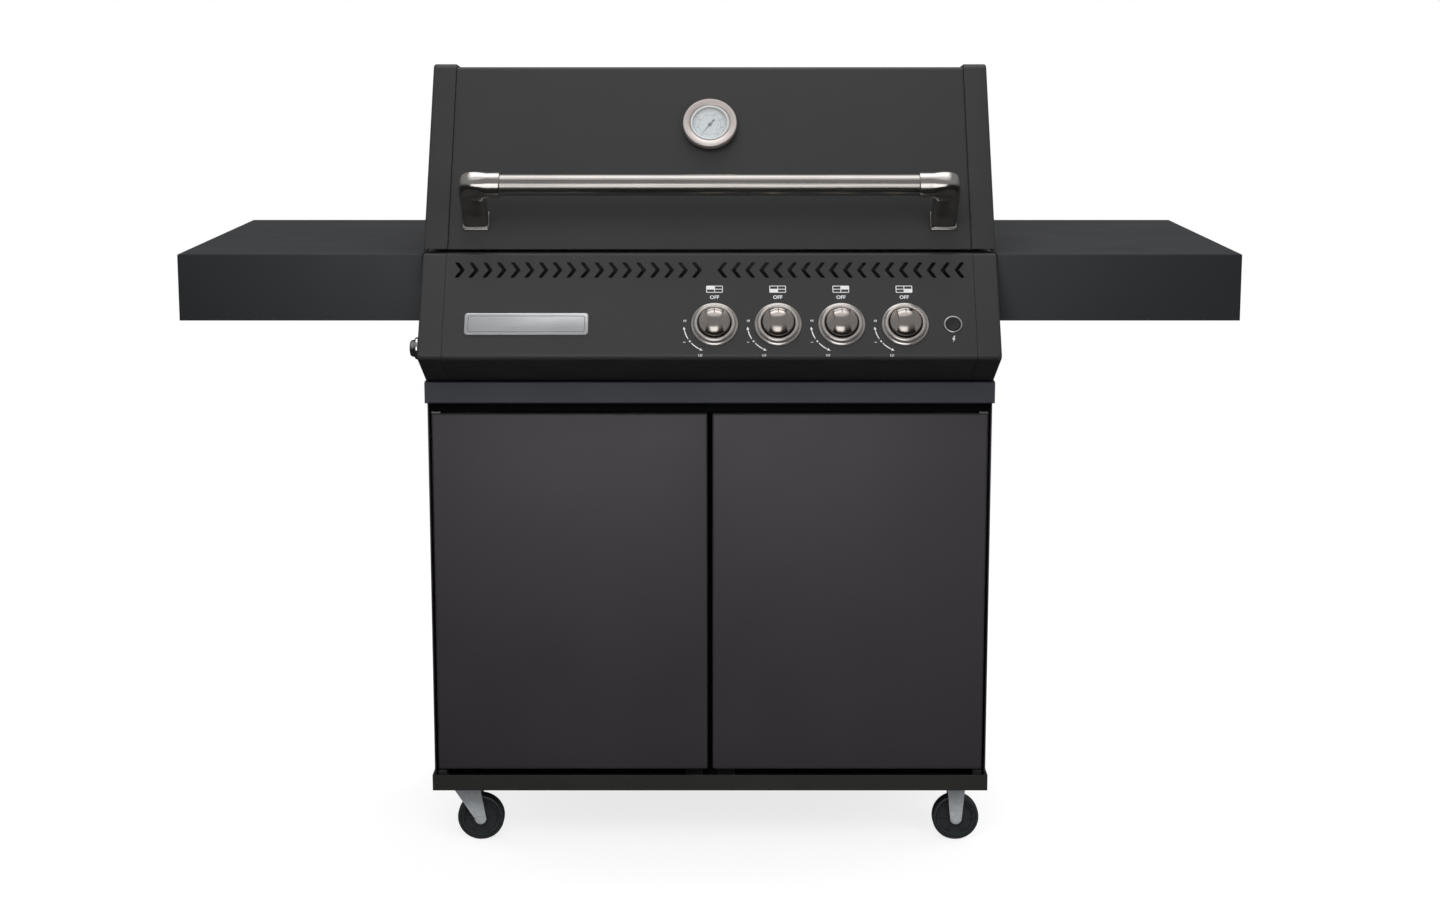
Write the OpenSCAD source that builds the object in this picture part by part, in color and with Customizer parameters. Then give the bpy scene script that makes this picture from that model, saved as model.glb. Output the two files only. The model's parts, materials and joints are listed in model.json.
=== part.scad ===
// Four-burner hooded gas barbecue on a two-door trolley.
// X runs to the right, Y to the back, Z up from the floor. Sizes along Y are first measured from
// the front skirt of the side shelves, and seat() then centres the whole depth on the origin.

/* [Overall] */
// Width of the hood and of the control panel
body_w = 760; // [720:1:800]
// Height of the shelf tops above the floor
shelf_top_z = 830; // [820:1:840]
// Thickness of the painted sheet steel
sheet_t = 1.5; // [1.2:0.1:2]
// Running clearance, on the radius, of every pin in its hole
run_fit = 0.05; // [0.02:0.01:0.1]
// Clearance between faces that pass each other
face_fit = 0.3; // [0.2:0.05:0.5]

/* [Side shelves] */
// Reach of one shelf out from the firebox cheek
shelf_w = 327; // [250:1:400]
// Depth of the shelves from front to back
shelf_d = 500; // [480:1:520]
// Height of the shelf skirts
shelf_h = 89; // [60:1:100]
// How far the shelf's closing plate sits above the skirt's lower edge
shelf_plate_rise = 5; // [2:1:15]

/* [Hood] */
// Slope of the hood's front face, back from vertical
hood_slope = 31.5; // [27:0.5:35]
// Length of the hood's front face up its slope
hood_face = 279; // [260:1:290]
// Front edge of the hood behind the shelf fronts
hood_front_y = 4; // [0:1:10]
// Gap between the hood and the control panel
hood_gap = 3.5; // [2:0.5:6]
// Fall of the hood's top towards the back
hood_top_fall = 6; // [2:0.5:10]
// Radius of the hood's front bend
hood_bend_r = 8; // [4:1:15]
// Radius of the hood's rear bend
hood_back_r = 60; // [30:1:80]
// Width of one hood end cap, and of one panel end cap
cap_w = 32; // [24:1:40]
// How far the hood end caps stand proud of the skin
cap_proud = 4; // [2:0.5:6]
// Thickness of the end caps' outer plates
cap_plate_t = 3; // [2:0.5:5]
// Depth of the hood's turned-in front lip
hood_lip = 16; // [8:1:24]
// Height of the hinge axis above the hood's front edge
hinge_rise = 10; // [10:1:16]
// Distance of the hinge axis in front of the hood's back
hinge_inset = 15; // [13:1:18]
// Radius of the hinge pins
hinge_pin_r = 5; // [4:0.5:6]
// Radius of the boss round each hinge pin
hinge_boss_r = 11; // [9:0.5:12]
// Thickness of each hinge ear
hinge_ear_t = 6; // [4:0.5:8]

/* [Handle] */
// Radius of the handle tube
tube_r = 14.2; // [12:0.1:16]
// Distance of the handle's elbows in from the seams of the hood's end caps
handle_inset = 36; // [24:1:60]
// Radius of the sockets that hold the tube
socket_r = 17; // [16.5:0.1:20]
// Length of each socket up to the middle of its elbow
socket_len = 38; // [34:1:44]
// How far the tube goes into each socket
tube_depth = 20; // [12:1:26]
// Height of the handle tube above the hood's front edge
tube_rise = 89; // [80:1:100]
// How far the handle tube stands in front of the hood's lower edge
tube_reach = 34; // [30:1:45]
// Thickness of each handle leg, front to back
leg_t = 24; // [18:1:30]
// Distance of the handle's feet up the hood's face
foot_s = 42; // [30:1:50]
// Height of each handle foot off the hood
foot_t = 4; // [2:0.5:6]
// Length of each handle foot along the hood's face
foot_len = 28; // [24:1:50]

/* [Thermometer] */
// Distance of the thermometer's centre up the hood's face
gauge_s = 184; // [150:1:210]
// Radius of the outer ring
gauge_r = 36.5; // [32:0.5:42]
// Width of the flat outer ring
gauge_ring_w = 8.9; // [7:0.1:10]
// Radius of the dial that shows
dial_r = 23.5; // [20:0.5:24.5]
// Height of the case off the hood
gauge_h = 16; // [14:0.5:20]
// Length of the needle's pointing side
needle_len = 16; // [12:0.5:20]
// Length of the needle's tail
needle_tail = 10; // [6:0.5:12]
// Direction of the cold needle, clockwise from the top
needle_cold = 218; // [200:1:230]
// Length of the probe inside the hood
probe_len = 55; // [30:1:60]
// Radius of the probe
probe_r = 3; // [2:0.5:4]

/* [Control panel] */
// Front top edge of the panel in front of the shelf fronts
panel_top_y = -10; // [-16:1:-6]
// Slope of the panel's face, out from vertical
panel_slope = 33.4; // [29:0.1:37]
// Length of the panel's face down its slope
panel_face = 152.7; // [145:0.1:160]
// Radius of the panel's nose bend
nose_r = 7; // [4:0.5:12]
// Thickness of the panel end caps' folded faces
panel_cap_t = 3; // [2:0.5:4]
// Height of the barbecue's underside above the trolley's top rails
head_lift = 2; // [1:0.5:4]
// Plain strip between the last vent slot and the panel's end cap
vent_end = 11; // [6:1:30]
// Spacing of the vent slots
vent_pitch = 18.4; // [17:0.1:19]
// Distance of the vents down the panel's face
vent_s = 24; // [20:1:28]
// Height of one vent slot
vent_h = 23; // [14:0.5:26]
// Sideways run of one vent arm
vent_run = 8; // [5:0.5:10]
// Width of one vent slot
vent_w = 6; // [3:0.5:7]
// Gap between the two halves of the vents
vent_gap = 20; // [14:1:30]
// Distance of the knobs down the panel's face
knob_s = 104; // [98:1:108]
// Spacing of the knobs
knob_pitch = 83; // [76:0.5:84]
// Distance of the igniter in from the panel's right seam
igniter_inset = 30; // [22:0.5:36]
// Distance from the last knob to the igniter
igniter_step = 62.5; // [54:0.5:70]
// Distance of the plate in from the panel's left seam
badge_inset = 28; // [15:1:50]
// Width of the plate
badge_w = 162; // [120:1:180]
// Height of the plate
badge_h = 31; // [24:1:36]
// Thickness of the plate
badge_t = 3; // [1.5:0.5:4]
// Corner radius of the plate
badge_r = 4; // [2:0.5:8]
// Radius of the round cap on the panel's left end
side_cap_r = 14.5; // [12:0.5:16]
// How far that cap stands out
side_cap_h = 11; // [8:0.5:14]

/* [Knobs and igniter] */
// Radius of each knob
knob_r = 20.5; // [18:0.5:21]
// Height of each knob's top off the panel
knob_top = 20; // [18:0.5:26]
// Height of each knob's straight rim
knob_rim = 5; // [4:0.5:7]
// Half the width of each knob's grip at its waist
grip_half = 9.7; // [7:0.1:12]
// Radius of the hollows on both sides of the grip
scoop_r = 50; // [30:1:80]
// Height of the hollows' floors above the rim
scoop_lift = 2.5; // [1.5:0.5:4]
// Height of each knob's underside off the panel
knob_lift = 5; // [4:0.5:7]
// Travel of a knob when pushed
knob_push = 3; // [2:0.5:3.5]
// Outer radius of each bezel
bezel_r = 30.7; // [28:0.1:34]
// Inner radius of each bezel
bezel_hole_r = 22.3; // [22:0.1:23]
// Height of each bezel
bezel_h = 8; // [5:0.5:10]
// Radius of the valve stems
stem_r = 3; // [2.5:0.5:4]
// Radius of the igniter's ring
igniter_ring_r = 12.5; // [12:0.5:15]
// Radius of the igniter's button
button_r = 9.8; // [8:0.1:10]
// How far the button stands off the panel
button_h = 4; // [3.5:0.5:6]

/* [Firebox] */
// Front wall of the firebox behind the shelf fronts
box_front_y = 24; // [20:1:28]
// Rear wall of the firebox behind the shelf fronts
box_rear_y = 460; // [450:1:462]
// Distance of the firebox's inner walls in from the body's sides
box_gap = 40; // [30:1:50]
// How far the firebox cheeks stand out past the hood
cheek_out = 1; // [0.5:0.5:2]
// Distance of the firebox rim below the shelf tops
rim_drop = 1.5; // [1:0.5:4]
// Height of the cooking ledge above the underside
cook_ledge = 138; // [130:1:142]
// Height of the guard ledge above the underside
guard_ledge = 83; // [78:1:90]
// Depth of the ledges
ledge_d = 14; // [10:1:18]
// Height of a cooking grate
grate_h = 12; // [8:1:14]
// Width of a grate bar
grate_bar = 6; // [5:0.5:8]
// Spacing of the grate bars
grate_pitch = 15.6; // [13:0.1:20]
// Width of the hotplate
hotplate_w = 220; // [180:1:240]
// Gap between cooking plates
plate_gap = 3; // [2:0.5:5]
// Height of the hotplate's rim
hotplate_rim = 5; // [3:0.5:7]
// Height of the warming rack above the firebox rim
rack_rise = 72; // [60:1:80]
// Depth of the warming rack
rack_d = 170; // [120:1:180]
// Rear edge of the warming rack behind the shelf fronts
rack_rear_y = 430; // [420:1:435]
// Radius of the rack's wires
wire_r = 2; // [1.5:0.5:2.5]
// Spacing of the rack's wires
wire_pitch = 22; // [18:1:30]

/* [Burners and gas] */
// Gap between the burners and the firebox's inner walls
burner_side_gap = 30; // [15:1:45]
// Gap between the left and the right burners
burner_mid_gap = 40; // [20:1:60]
// Width of each burner from front to back
burner_w = 185; // [170:1:195]
// Height of each burner
burner_h = 25; // [22:1:30]
// Centre of the front burners
burner_front_y = 130; // [128:1:135]
// Centre of the rear burners
burner_rear_y = 340; // [335:1:345]
// Height of the burners' undersides above the firebox floor
burner_lift = 28; // [26:1:32]
// Radius of the mixing tubes
mixer_r = 9; // [7:0.5:10]
// Distance of the mixing tubes from their burners' middles
mixer_off = 55; // [40:1:65]
// Radius of the gas rail
rail_r = 8; // [7:0.5:9]
// Distance of the gas rail behind the panel's face
rail_depth = 62; // [58:1:64]
// Radius of the valve bodies
valve_r = 10; // [8:0.5:12]
// Radius of the supply tubes
supply_r = 3; // [2.5:0.5:3.5]
// Length of the inlet that stands out at the back
inlet_len = 22; // [18:1:24]

/* [Drip tray] */
// Width of the drip tray
tray_w = 300; // [240:1:320]
// Depth of the drip tray
tray_d = 400; // [360:1:405]
// Height of the drip tray
tray_h = 20; // [14:1:22]
// Front edge of the drip tray
tray_front_y = 60; // [55:1:70]

/* [Trolley] */
// Rear of the cabinet behind the shelf fronts
cabinet_rear_y = 470; // [468:1:474]
// Height of the top rails' upper face
rail_top_z = 660; // [655:1:665]
// Height of the top rails
rail_h = 29; // [26:1:32]
// Front face of the top rail in front of the shelf fronts
rail_front_y = -14; // [-18:1:-10]
// Width of the side rails
rail_w = 25; // [20:1:30]
// Height of the recessed strip under the front rail
recess_h = 15; // [12:1:16]
// Front face of that recessed strip
recess_y = 12; // [11:0.5:12.5]
// Height of the base pan's underside
base_z = 90; // [86:1:96]
// Height of the base pan's rims
base_h = 22; // [18:1:24]
// Front face of the base pan
base_front_y = -10; // [-14:1:-6]

/* [Doors] */
// Gap above each door
door_top_gap = 3; // [2:0.5:4]
// Gap under each door
door_bottom_gap = 2; // [1.5:0.5:4]
// Gap between the doors
door_gap = 6.8; // [4:0.2:8]
// Gap between a door and the side panel
door_side_gap = 3.1; // [2.8:0.1:4]
// Front face of the doors
door_front_y = 8; // [7:0.5:9]
// Thickness of the doors
door_t = 18; // [16:0.5:19]
// Radius of the doors' upright front edges
door_edge_r = 3; // [2:0.5:4]
// Distance of the door pins behind the doors' faces
door_pin_back = 6; // [5:0.5:6.5]
// Distance of the door pins in from the doors' outer edges
door_pin_in = 6.4; // [6:0.1:7.4]
// Radius of the door pins
door_pin_r = 3; // [2.5:0.5:3.5]
// Length of the pins inside the doors
door_pin_len = 12; // [8:1:16]

/* [Casters] */
// Radius of the wheels
wheel_r = 32.5; // [30:0.5:34]
// Width of the wheels
wheel_w = 20; // [16:1:24]
// Distance of the swivel casters' axes in from the cabinet's side
swivel_inset = 33.4; // [32:0.2:40]
// Offset of each swivel wheel from its swivel axis
trail = 25; // [20:1:28]
// Distance of the fixed casters in from the cabinet's side
fixed_inset = 36; // [34:1:45]
// Centre of the front casters
caster_front_y = 50; // [44:1:60]
// Centre of the rear casters
caster_rear_y = 420; // [410:1:424]
// Radius of the axles
axle_r = 4; // [3:0.5:5]
// Radius of the rounded lower end of each fork
fork_end_r = 8; // [7:0.5:10]
// Thickness of the forks
fork_t = 2; // [1.5:0.1:3]
// Clearance between a hub and its fork
hub_fit = 0.5; // [0.3:0.1:1]
// How far a hub stands out past its tyre
hub_out = 1.5; // [1:0.5:3]
// Thickness of the caster plates
plate_t = 3; // [2:0.5:4]
// Size of the caster plates
plate_w = 60; // [50:1:66]
// Radius of the kingpins
kingpin_r = 6; // [4.5:0.5:7]

/* [Hidden] */
$fn = 64;

// A little extra so that a cut runs clean through
cut = 1;
half_w = body_w / 2;
inner_half = half_w - cap_w;

// Control panel
panel_top_z = shelf_top_z + 1.5;
head_z = rail_top_z + head_lift;
nose_y = panel_top_y - panel_face * sin(panel_slope);
nose_z = panel_top_z - panel_face * cos(panel_slope);
panel_path = [
    [box_front_y, panel_top_z], [panel_top_y, panel_top_z], [nose_y, nose_z],
    [panel_top_y, head_z], [box_front_y, head_z]
];
panel_radii = [0, 4, nose_r, 4, 0];
button_sleeve_r = button_r + 0.1;
button_sleeve_t = 0.9;
igniter_hole_r = button_sleeve_r + button_sleeve_t;
igniter_x = inner_half - igniter_inset;
badge_x = badge_inset + badge_w / 2 - inner_half;
vent_start = vent_gap / 2;
vent_count = 1 + floor((inner_half - vent_start - vent_run - vent_w - vent_end) / vent_pitch);

// Hood
hood_z = panel_top_z + hood_gap;
hood_top_y = hood_front_y + hood_face * sin(hood_slope);
hood_top_z = hood_z + hood_face * cos(hood_slope);
hood_back_y = shelf_d;
hood_back_z = hood_top_z - (hood_back_y - hood_top_y) * tan(hood_top_fall);
hinge_y = hood_back_y - hinge_inset;
hinge_z = hood_z + hinge_rise;
hood_path = [
    [hood_front_y, hood_z], [hood_top_y, hood_top_z], [hood_back_y, hood_back_z],
    [hood_back_y, hinge_z + 7]
];
hood_radii = [0, hood_bend_r, hood_back_r, 0];
lip_path = concat([[hood_front_y + hood_lip, hood_z]], hood_path);
lip_radii = concat([0, 2], [for (i = [1:3]) hood_radii[i]]);
// The end caps' folded rims stop this far above the hinge, clear of its ears
rim_end_rise = 25;
ear_x = half_w - 14;

// Handle
bar_y = hood_front_y - tube_reach;
bar_z = hood_z + tube_rise;
elbow_x = inner_half - handle_inset;
tube_half = elbow_x - socket_len;
foot_y = hood_front_y + foot_s * sin(hood_slope);
foot_z = hood_z + foot_s * cos(hood_slope);
leg_len = norm([foot_y - bar_y, foot_z - bar_z]);
leg_turn = atan2(foot_y - bar_y, bar_z - foot_z);

// Firebox
box_w = body_w - 2 * box_gap;
rim_z = shelf_top_z - rim_drop;
cheek_x = half_w + cheek_out;
cook_z = head_z + cook_ledge;
guard_z = head_z + guard_ledge;
floor_z = head_z + sheet_t;
grate_front_y = box_front_y + sheet_t + face_fit + 1;
grate_rear_y = box_rear_y - sheet_t - face_fit - 1;
plate_edge_x = box_w / 2 - 4;
floor_hole_inset = 30;
floor_hole_d = 160;
guard_count = 4;
guard_step = box_w / guard_count;
guard_half = 44;
guard_rise = 26;
guard_t = 1.6;
burner_z = head_z + burner_lift;
burner_l = box_w / 2 - burner_side_gap - burner_mid_gap / 2;
burner_x = (burner_mid_gap + burner_l) / 2;
mixer_inner_x = burner_x - mixer_off;
mixer_outer_x = burner_x + mixer_off;
tile_t = 11;
tile_seat = 5;
mixer_z = burner_z - mixer_r - 5;
gas_side_x = box_w / 4 + cheek_x / 2 + 1;

// Valves and stems, measured along the knob axis from the panel's face
valve_front = -14;
valve_back = -48;
stem_back = -24;
stem_front = knob_lift + 9;
outlet_h = -34;
outlet_len = 16;

// Trolley
cab_half = half_w;
base_half = cab_half + sheet_t;
base_top_z = base_z + base_h;
rail_z = rail_top_z - rail_h;
door_z = base_top_z + door_bottom_gap;
door_top_z = rail_z - recess_h - door_top_gap;
door_out_x = cab_half - sheet_t - door_side_gap;
door_pin_x = door_out_x - door_pin_in;
door_pin_y = door_front_y + door_pin_back;
stile_y = door_front_y + door_t + 4;

// Drip tray
tray_z = rail_z + 3;
tray_floor = 1.5;
tray_side_fit = 1.5;

// Casters
hub_half = wheel_w / 2 + hub_out;
fork_half = hub_half + hub_fit;
swivel_x = cab_half - swivel_inset;
fixed_x = cab_half - fixed_inset;
crown_z = base_z - 8;
race_r = 16;
race_h = 4;

// Depth of the whole, for centring it
knob_point = panel_point(0, knob_s + knob_r, knob_lift + knob_rim);
nose_points = rounded(panel_path, panel_radii);
front_y = min(concat([knob_point[1]], [for (p = nose_points) p[0]]));
datum_y = -(front_y + hood_back_y + cap_proud) / 2;

// ---- Helpers ----

// Unit step from p towards q
function unit(p, q) = (q - p) / norm(q - p);
// Left-hand normal of the step from p to q
function side(p, q) = let (u = unit(p, q)) [-u[1], u[0]];
// Turn at corner b of the path a, b, c: 1 to the left and -1 to the right
function turn(a, b, c) =
    let (u = unit(a, b), v = unit(b, c)) sign(u[0] * v[1] - u[1] * v[0]);
// The open path v with every leg moved t to its left
function shifted(v, t) = [
    for (i = [0:len(v) - 1])
        i == 0 ? v[0] + t * side(v[0], v[1])
        : i == len(v) - 1 ? v[i] + t * side(v[i - 1], v[i])
        : let (a = side(v[i - 1], v[i]), b = side(v[i], v[i + 1])) v[i] + t * (a + b) / (1 + a * b)
];
// Radii of the bends after the path v has moved t to its left
function shifted_radii(v, r, t) = [
    for (i = [0:len(v) - 1])
        i == 0 || i == len(v) - 1 || r[i] == 0 ? 0
        : max(0.2, r[i] - t * turn(v[i - 1], v[i], v[i + 1]))
];
// Points of the bend of radius r at corner b
function bend(a, b, c, r, steps) =
    r == 0 ? [b] :
    let (
        u = unit(b, a),
        w = unit(b, c),
        half = acos(u * w) / 2,
        centre = b + (u + w) / norm(u + w) * r / sin(half),
        first = b + u * r / tan(half) - centre,
        last = b + w * r / tan(half) - centre,
        start = atan2(first[1], first[0]),
        raw = atan2(last[1], last[0]) - start,
        sweep = raw > 180 ? raw - 360 : raw < -180 ? raw + 360 : raw
    ) [for (i = [0:steps]) centre + r * [cos(start + sweep * i / steps), sin(start + sweep * i / steps)]];
// The path v with its corners rounded by the radii r
function rounded(v, r, steps = 8) = [
    for (i = [0:len(v) - 1])
        each (i == 0 || i == len(v) - 1 ? [v[i]] : bend(v[i - 1], v[i], v[i + 1], r[i], steps))
];
// The list v from its end to its start
function reversed(v) = [for (i = [len(v) - 1:-1:0]) v[i]];
// A point x across, s down the panel's face and h off it
function panel_point(x, s, h) = [
    x,
    panel_top_y - s * sin(panel_slope) - h * cos(panel_slope),
    panel_top_z - s * cos(panel_slope) + h * sin(panel_slope)
];
// Place of knob k
function knob_x(k) = igniter_x - igniter_step - (4 - k) * knob_pitch;

// Puts what is measured from the shelf fronts on the origin
module seat() {
    translate([0, datum_y, 0]) children();
}

// Draws the child and its mirror image on the other side
module pair() {
    children();
    mirror([1, 0, 0]) children();
}

// Runs an outline in Y and Z from x0 to x1
module span_x(x0, x1) {
    translate([x0, 0, 0]) rotate([90, 0, 90]) linear_extrude(x1 - x0) children();
}

// Box from one corner to the other
module block(low, high) {
    translate(low) cube(high - low);
}

// Outline of a sheet of thickness t, bent along the path v, on its left where t is positive
module bent_outline(v, r, t) {
    polygon(concat(rounded(v, r), reversed(rounded(shifted(v, t), shifted_radii(v, r, t)))));
}

// Rectangle w by h about the origin with corners of radius r
module round_rect(w, h, r) {
    square([w - 2 * r, h], center = true);
    square([w, h - 2 * r], center = true);
    for (x = [-1, 1], y = [-1, 1]) translate([x * (w / 2 - r), y * (h / 2 - r)]) circle(r);
}

// Frame on the panel's face: x across, Y up the face, Z out of it
module on_panel(x, s) {
    translate(panel_point(x, s, 0)) rotate([90 - panel_slope, 0, 0]) children();
}

// Frame on the hood's face: x across, Y up the face, Z out of it
module on_hood(x, s) {
    translate([x, hood_front_y + s * sin(hood_slope), hood_z + s * cos(hood_slope)])
        rotate([90 - hood_slope, 0, 0]) children();
}

// Round bar from p to q
module rod(p, q, r) {
    d = q - p;
    translate(p) rotate([0, acos(d[2] / norm(d)), atan2(d[1], d[0])]) cylinder(r = r, h = norm(d));
}

// Round bar through all the points v, which turns square corners
module bent_rod(v, r) {
    for (i = [0:len(v) - 2]) rod(v[i], v[i + 1], r);
    for (i = [1:len(v) - 2]) translate(v[i]) sphere(r);
}

// ---- Trolley ----

module base_pan() {
    color("#2d2d29") seat() {
        difference() {
            block([-base_half, base_front_y, base_z], [base_half, cabinet_rear_y + sheet_t, base_top_z]);
            block([-cab_half, base_front_y + sheet_t, base_z + sheet_t],
                  [cab_half, cabinet_rear_y, base_top_z + cut]);
        }
        // Rolled front lip
        span_x(-base_half, base_half) translate([base_front_y + sheet_t, base_top_z - sheet_t])
            circle(sheet_t);
    }
}

module cabinet_sides() {
    color("#1c1b1d") seat() pair() difference() {
        block([cab_half - 14, door_front_y - 2, base_z + sheet_t], [cab_half, cabinet_rear_y, rail_z]);
        block([cab_half - 14 - cut, stile_y + sheet_t, base_z], [cab_half - sheet_t, cabinet_rear_y + cut, rail_z + cut]);
        block([cab_half - 14 - cut, door_front_y - 2 - cut, base_z], [cab_half - sheet_t, stile_y, rail_z + cut]);
    }
}

module rear_panel() {
    color("#232224") seat() difference() {
        block([-cab_half + sheet_t, cabinet_rear_y - 12, base_z + sheet_t],
              [cab_half - sheet_t, cabinet_rear_y, rail_z]);
        block([-cab_half + sheet_t * 2, cabinet_rear_y - 12 - cut, base_z + sheet_t * 2],
              [cab_half - sheet_t * 2, cabinet_rear_y - sheet_t, rail_z - sheet_t]);
    }
}

module top_rails() {
    front_path = [
        [box_front_y + 6, rail_top_z], [rail_front_y, rail_top_z], [rail_front_y, rail_z],
        [recess_y, rail_z], [recess_y, rail_z - recess_h]
    ];
    front_end = box_front_y + 6;
    rear_y = cabinet_rear_y - rail_w;
    color("#35363d") seat() {
        // Front rail, with the recessed strip that hangs behind it
        difference() {
            span_x(-cheek_x, cheek_x) bent_outline(front_path, [0, 2, 2, sheet_t + 0.5, 0], sheet_t);
            pair() block([cab_half - sheet_t, door_front_y - 3, rail_z - recess_h - cut],
                         [cheek_x + cut, front_end, rail_z]);
        }
        // Side rails, open towards the middle
        pair() difference() {
            block([cheek_x - rail_w, front_end + face_fit, rail_z], [cheek_x, cabinet_rear_y, rail_top_z]);
            block([cheek_x - rail_w - cut, front_end, rail_z + sheet_t],
                  [cheek_x - sheet_t, cabinet_rear_y + cut, rail_top_z - sheet_t]);
        }
        // Two halves of the rear rail, on each side of the drip tray's way out
        pair() difference() {
            block([tray_w / 2 + 15, rear_y, rail_z], [cheek_x - rail_w - face_fit, cabinet_rear_y, rail_top_z]);
            block([tray_w / 2 + 15 - cut, rear_y - cut, rail_z + sheet_t],
                  [cheek_x, cabinet_rear_y - sheet_t, rail_top_z - sheet_t]);
        }
    }
}

// Footprint of one door hinge bracket
module hinge_pad(z0, z1) {
    block([door_pin_x - 6, door_pin_y - 6, z0], [door_pin_x + 6, door_pin_y + 8, z1]);
}

module door_hinge_pins() {
    lower_z = door_z - 0.7;
    upper_z = door_top_z + 0.7;
    color("#9a9b9c") seat() pair() {
        hinge_pad(base_z + sheet_t, lower_z);
        translate([door_pin_x, door_pin_y, lower_z - cut])
            cylinder(r = door_pin_r, h = door_pin_len + 0.7 + cut);
        hinge_pad(upper_z, rail_z - recess_h);
        translate([door_pin_x, door_pin_y, door_top_z - door_pin_len])
            cylinder(r = door_pin_r, h = door_pin_len + 0.7 + cut);
    }
}

module door_catches() {
    catch_y = door_front_y + door_t + face_fit;
    color("#3a3a3c") seat() pair()
        block([10, catch_y, base_z + sheet_t], [34, catch_y + 10, base_top_z + 14]);
}

// One door, on the right of the middle line
module door() {
    depth_y = door_front_y + door_t;
    in_x = door_gap / 2;
    edge = door_edge_r;
    difference() {
        union() {
            block([in_x, door_front_y + edge, door_z], [door_out_x, depth_y, door_top_z]);
            block([in_x + edge, door_front_y, door_z], [door_out_x - edge, depth_y, door_top_z]);
            for (x = [in_x + edge, door_out_x - edge])
                translate([x, door_front_y + edge, door_z]) cylinder(r = edge, h = door_top_z - door_z);
        }
        // Hollow back, left solid at the two hinge corners
        difference() {
            block([in_x + sheet_t, door_front_y + sheet_t, door_z + sheet_t],
                  [door_out_x - sheet_t, depth_y + cut, door_top_z - sheet_t]);
            for (z = [door_z, door_top_z - door_pin_len - 3])
                block([door_out_x - 16, door_front_y, z], [door_out_x, depth_y - 3, z + door_pin_len + 3]);
            // Turned-in lips round the back
            difference() {
                block([in_x, depth_y - sheet_t, door_z], [door_out_x, depth_y, door_top_z]);
                block([in_x + 14, depth_y - sheet_t - cut, door_z + 14],
                      [door_out_x - 14, depth_y + cut, door_top_z - 14]);
            }
        }
        for (z = [door_z - cut, door_top_z - door_pin_len - 1])
            translate([door_pin_x, door_pin_y, z])
                cylinder(r = door_pin_r + run_fit, h = door_pin_len + 1 + cut);
    }
}

module left_door() {
    color("#3c3a3d") seat() mirror([1, 0, 0]) door();
}

module right_door() {
    color("#3c3a3d") seat() door();
}

// ---- Casters ----

module caster_plates() {
    color("#d3dce0") seat() for (y = [caster_front_y, caster_rear_y]) {
        // Swivel plate with its ball race
        difference() {
            union() {
                translate([-swivel_x, y, base_z - plate_t / 2]) cube([plate_w, plate_w, plate_t], center = true);
                translate([-swivel_x, y, base_z - plate_t - race_h]) cylinder(r = race_r, h = race_h + cut);
            }
            translate([-swivel_x, y, base_z - plate_t - race_h - cut])
                cylinder(r = kingpin_r + run_fit, h = plate_t + race_h + 2 * cut);
        }
        // Fixed plate
        translate([fixed_x, y, base_z - plate_t / 2]) cube([plate_w, plate_w, plate_t], center = true);
    }
}

// Outline of one fork side in X and Z: top from x0 to x1 at height z, round end at the axle
module fork_outline(axle_x, x0, x1, z) {
    r = fork_end_r;
    polygon([[x0, z], [x1, z], [axle_x + r, wheel_r], [axle_x, wheel_r - r / 2], [axle_x - r, wheel_r]]);
    translate([axle_x, wheel_r]) circle(r);
}

// Both sides of a fork, its crown and its axle
module fork(axle_x, x0, x1, z) {
    for (s = [-1, 1])
        translate([0, s * (fork_half + fork_t / 2) + fork_t / 2, 0])
            rotate([90, 0, 0]) linear_extrude(fork_t) fork_outline(axle_x, x0, x1, z);
    block([x0, -fork_half - fork_t, z - fork_t], [x1, fork_half + fork_t, z]);
    // Axle, with its heads outside the fork
    translate([axle_x, 0, wheel_r]) rotate([90, 0, 0]) {
        cylinder(r = axle_r, h = 2 * (fork_half + fork_t), center = true);
        for (s = [-1, 1]) translate([0, 0, s * (fork_half + fork_t + 1)])
            cylinder(r = axle_r + 1.5, h = 2, center = true);
    }
}

module swivel_fork(y) {
    crown = crown_z + 1 - face_fit;
    translate([-swivel_x, y, 0]) {
        fork(trail, -race_r, race_r + 8, crown);
        translate([0, 0, crown - cut]) cylinder(r = kingpin_r, h = base_z - crown + cut - face_fit);
    }
}

module left_front_fork() {
    color("#d3dce0") seat() swivel_fork(caster_front_y);
}

module left_rear_fork() {
    color("#d3dce0") seat() swivel_fork(caster_rear_y);
}

module fixed_caster_forks() {
    half = 13.3;
    color("#d3dce0") seat() for (y = [caster_front_y, caster_rear_y])
        translate([fixed_x, y, 0]) fork(0, -half, half, base_z - plate_t);
}

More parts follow.
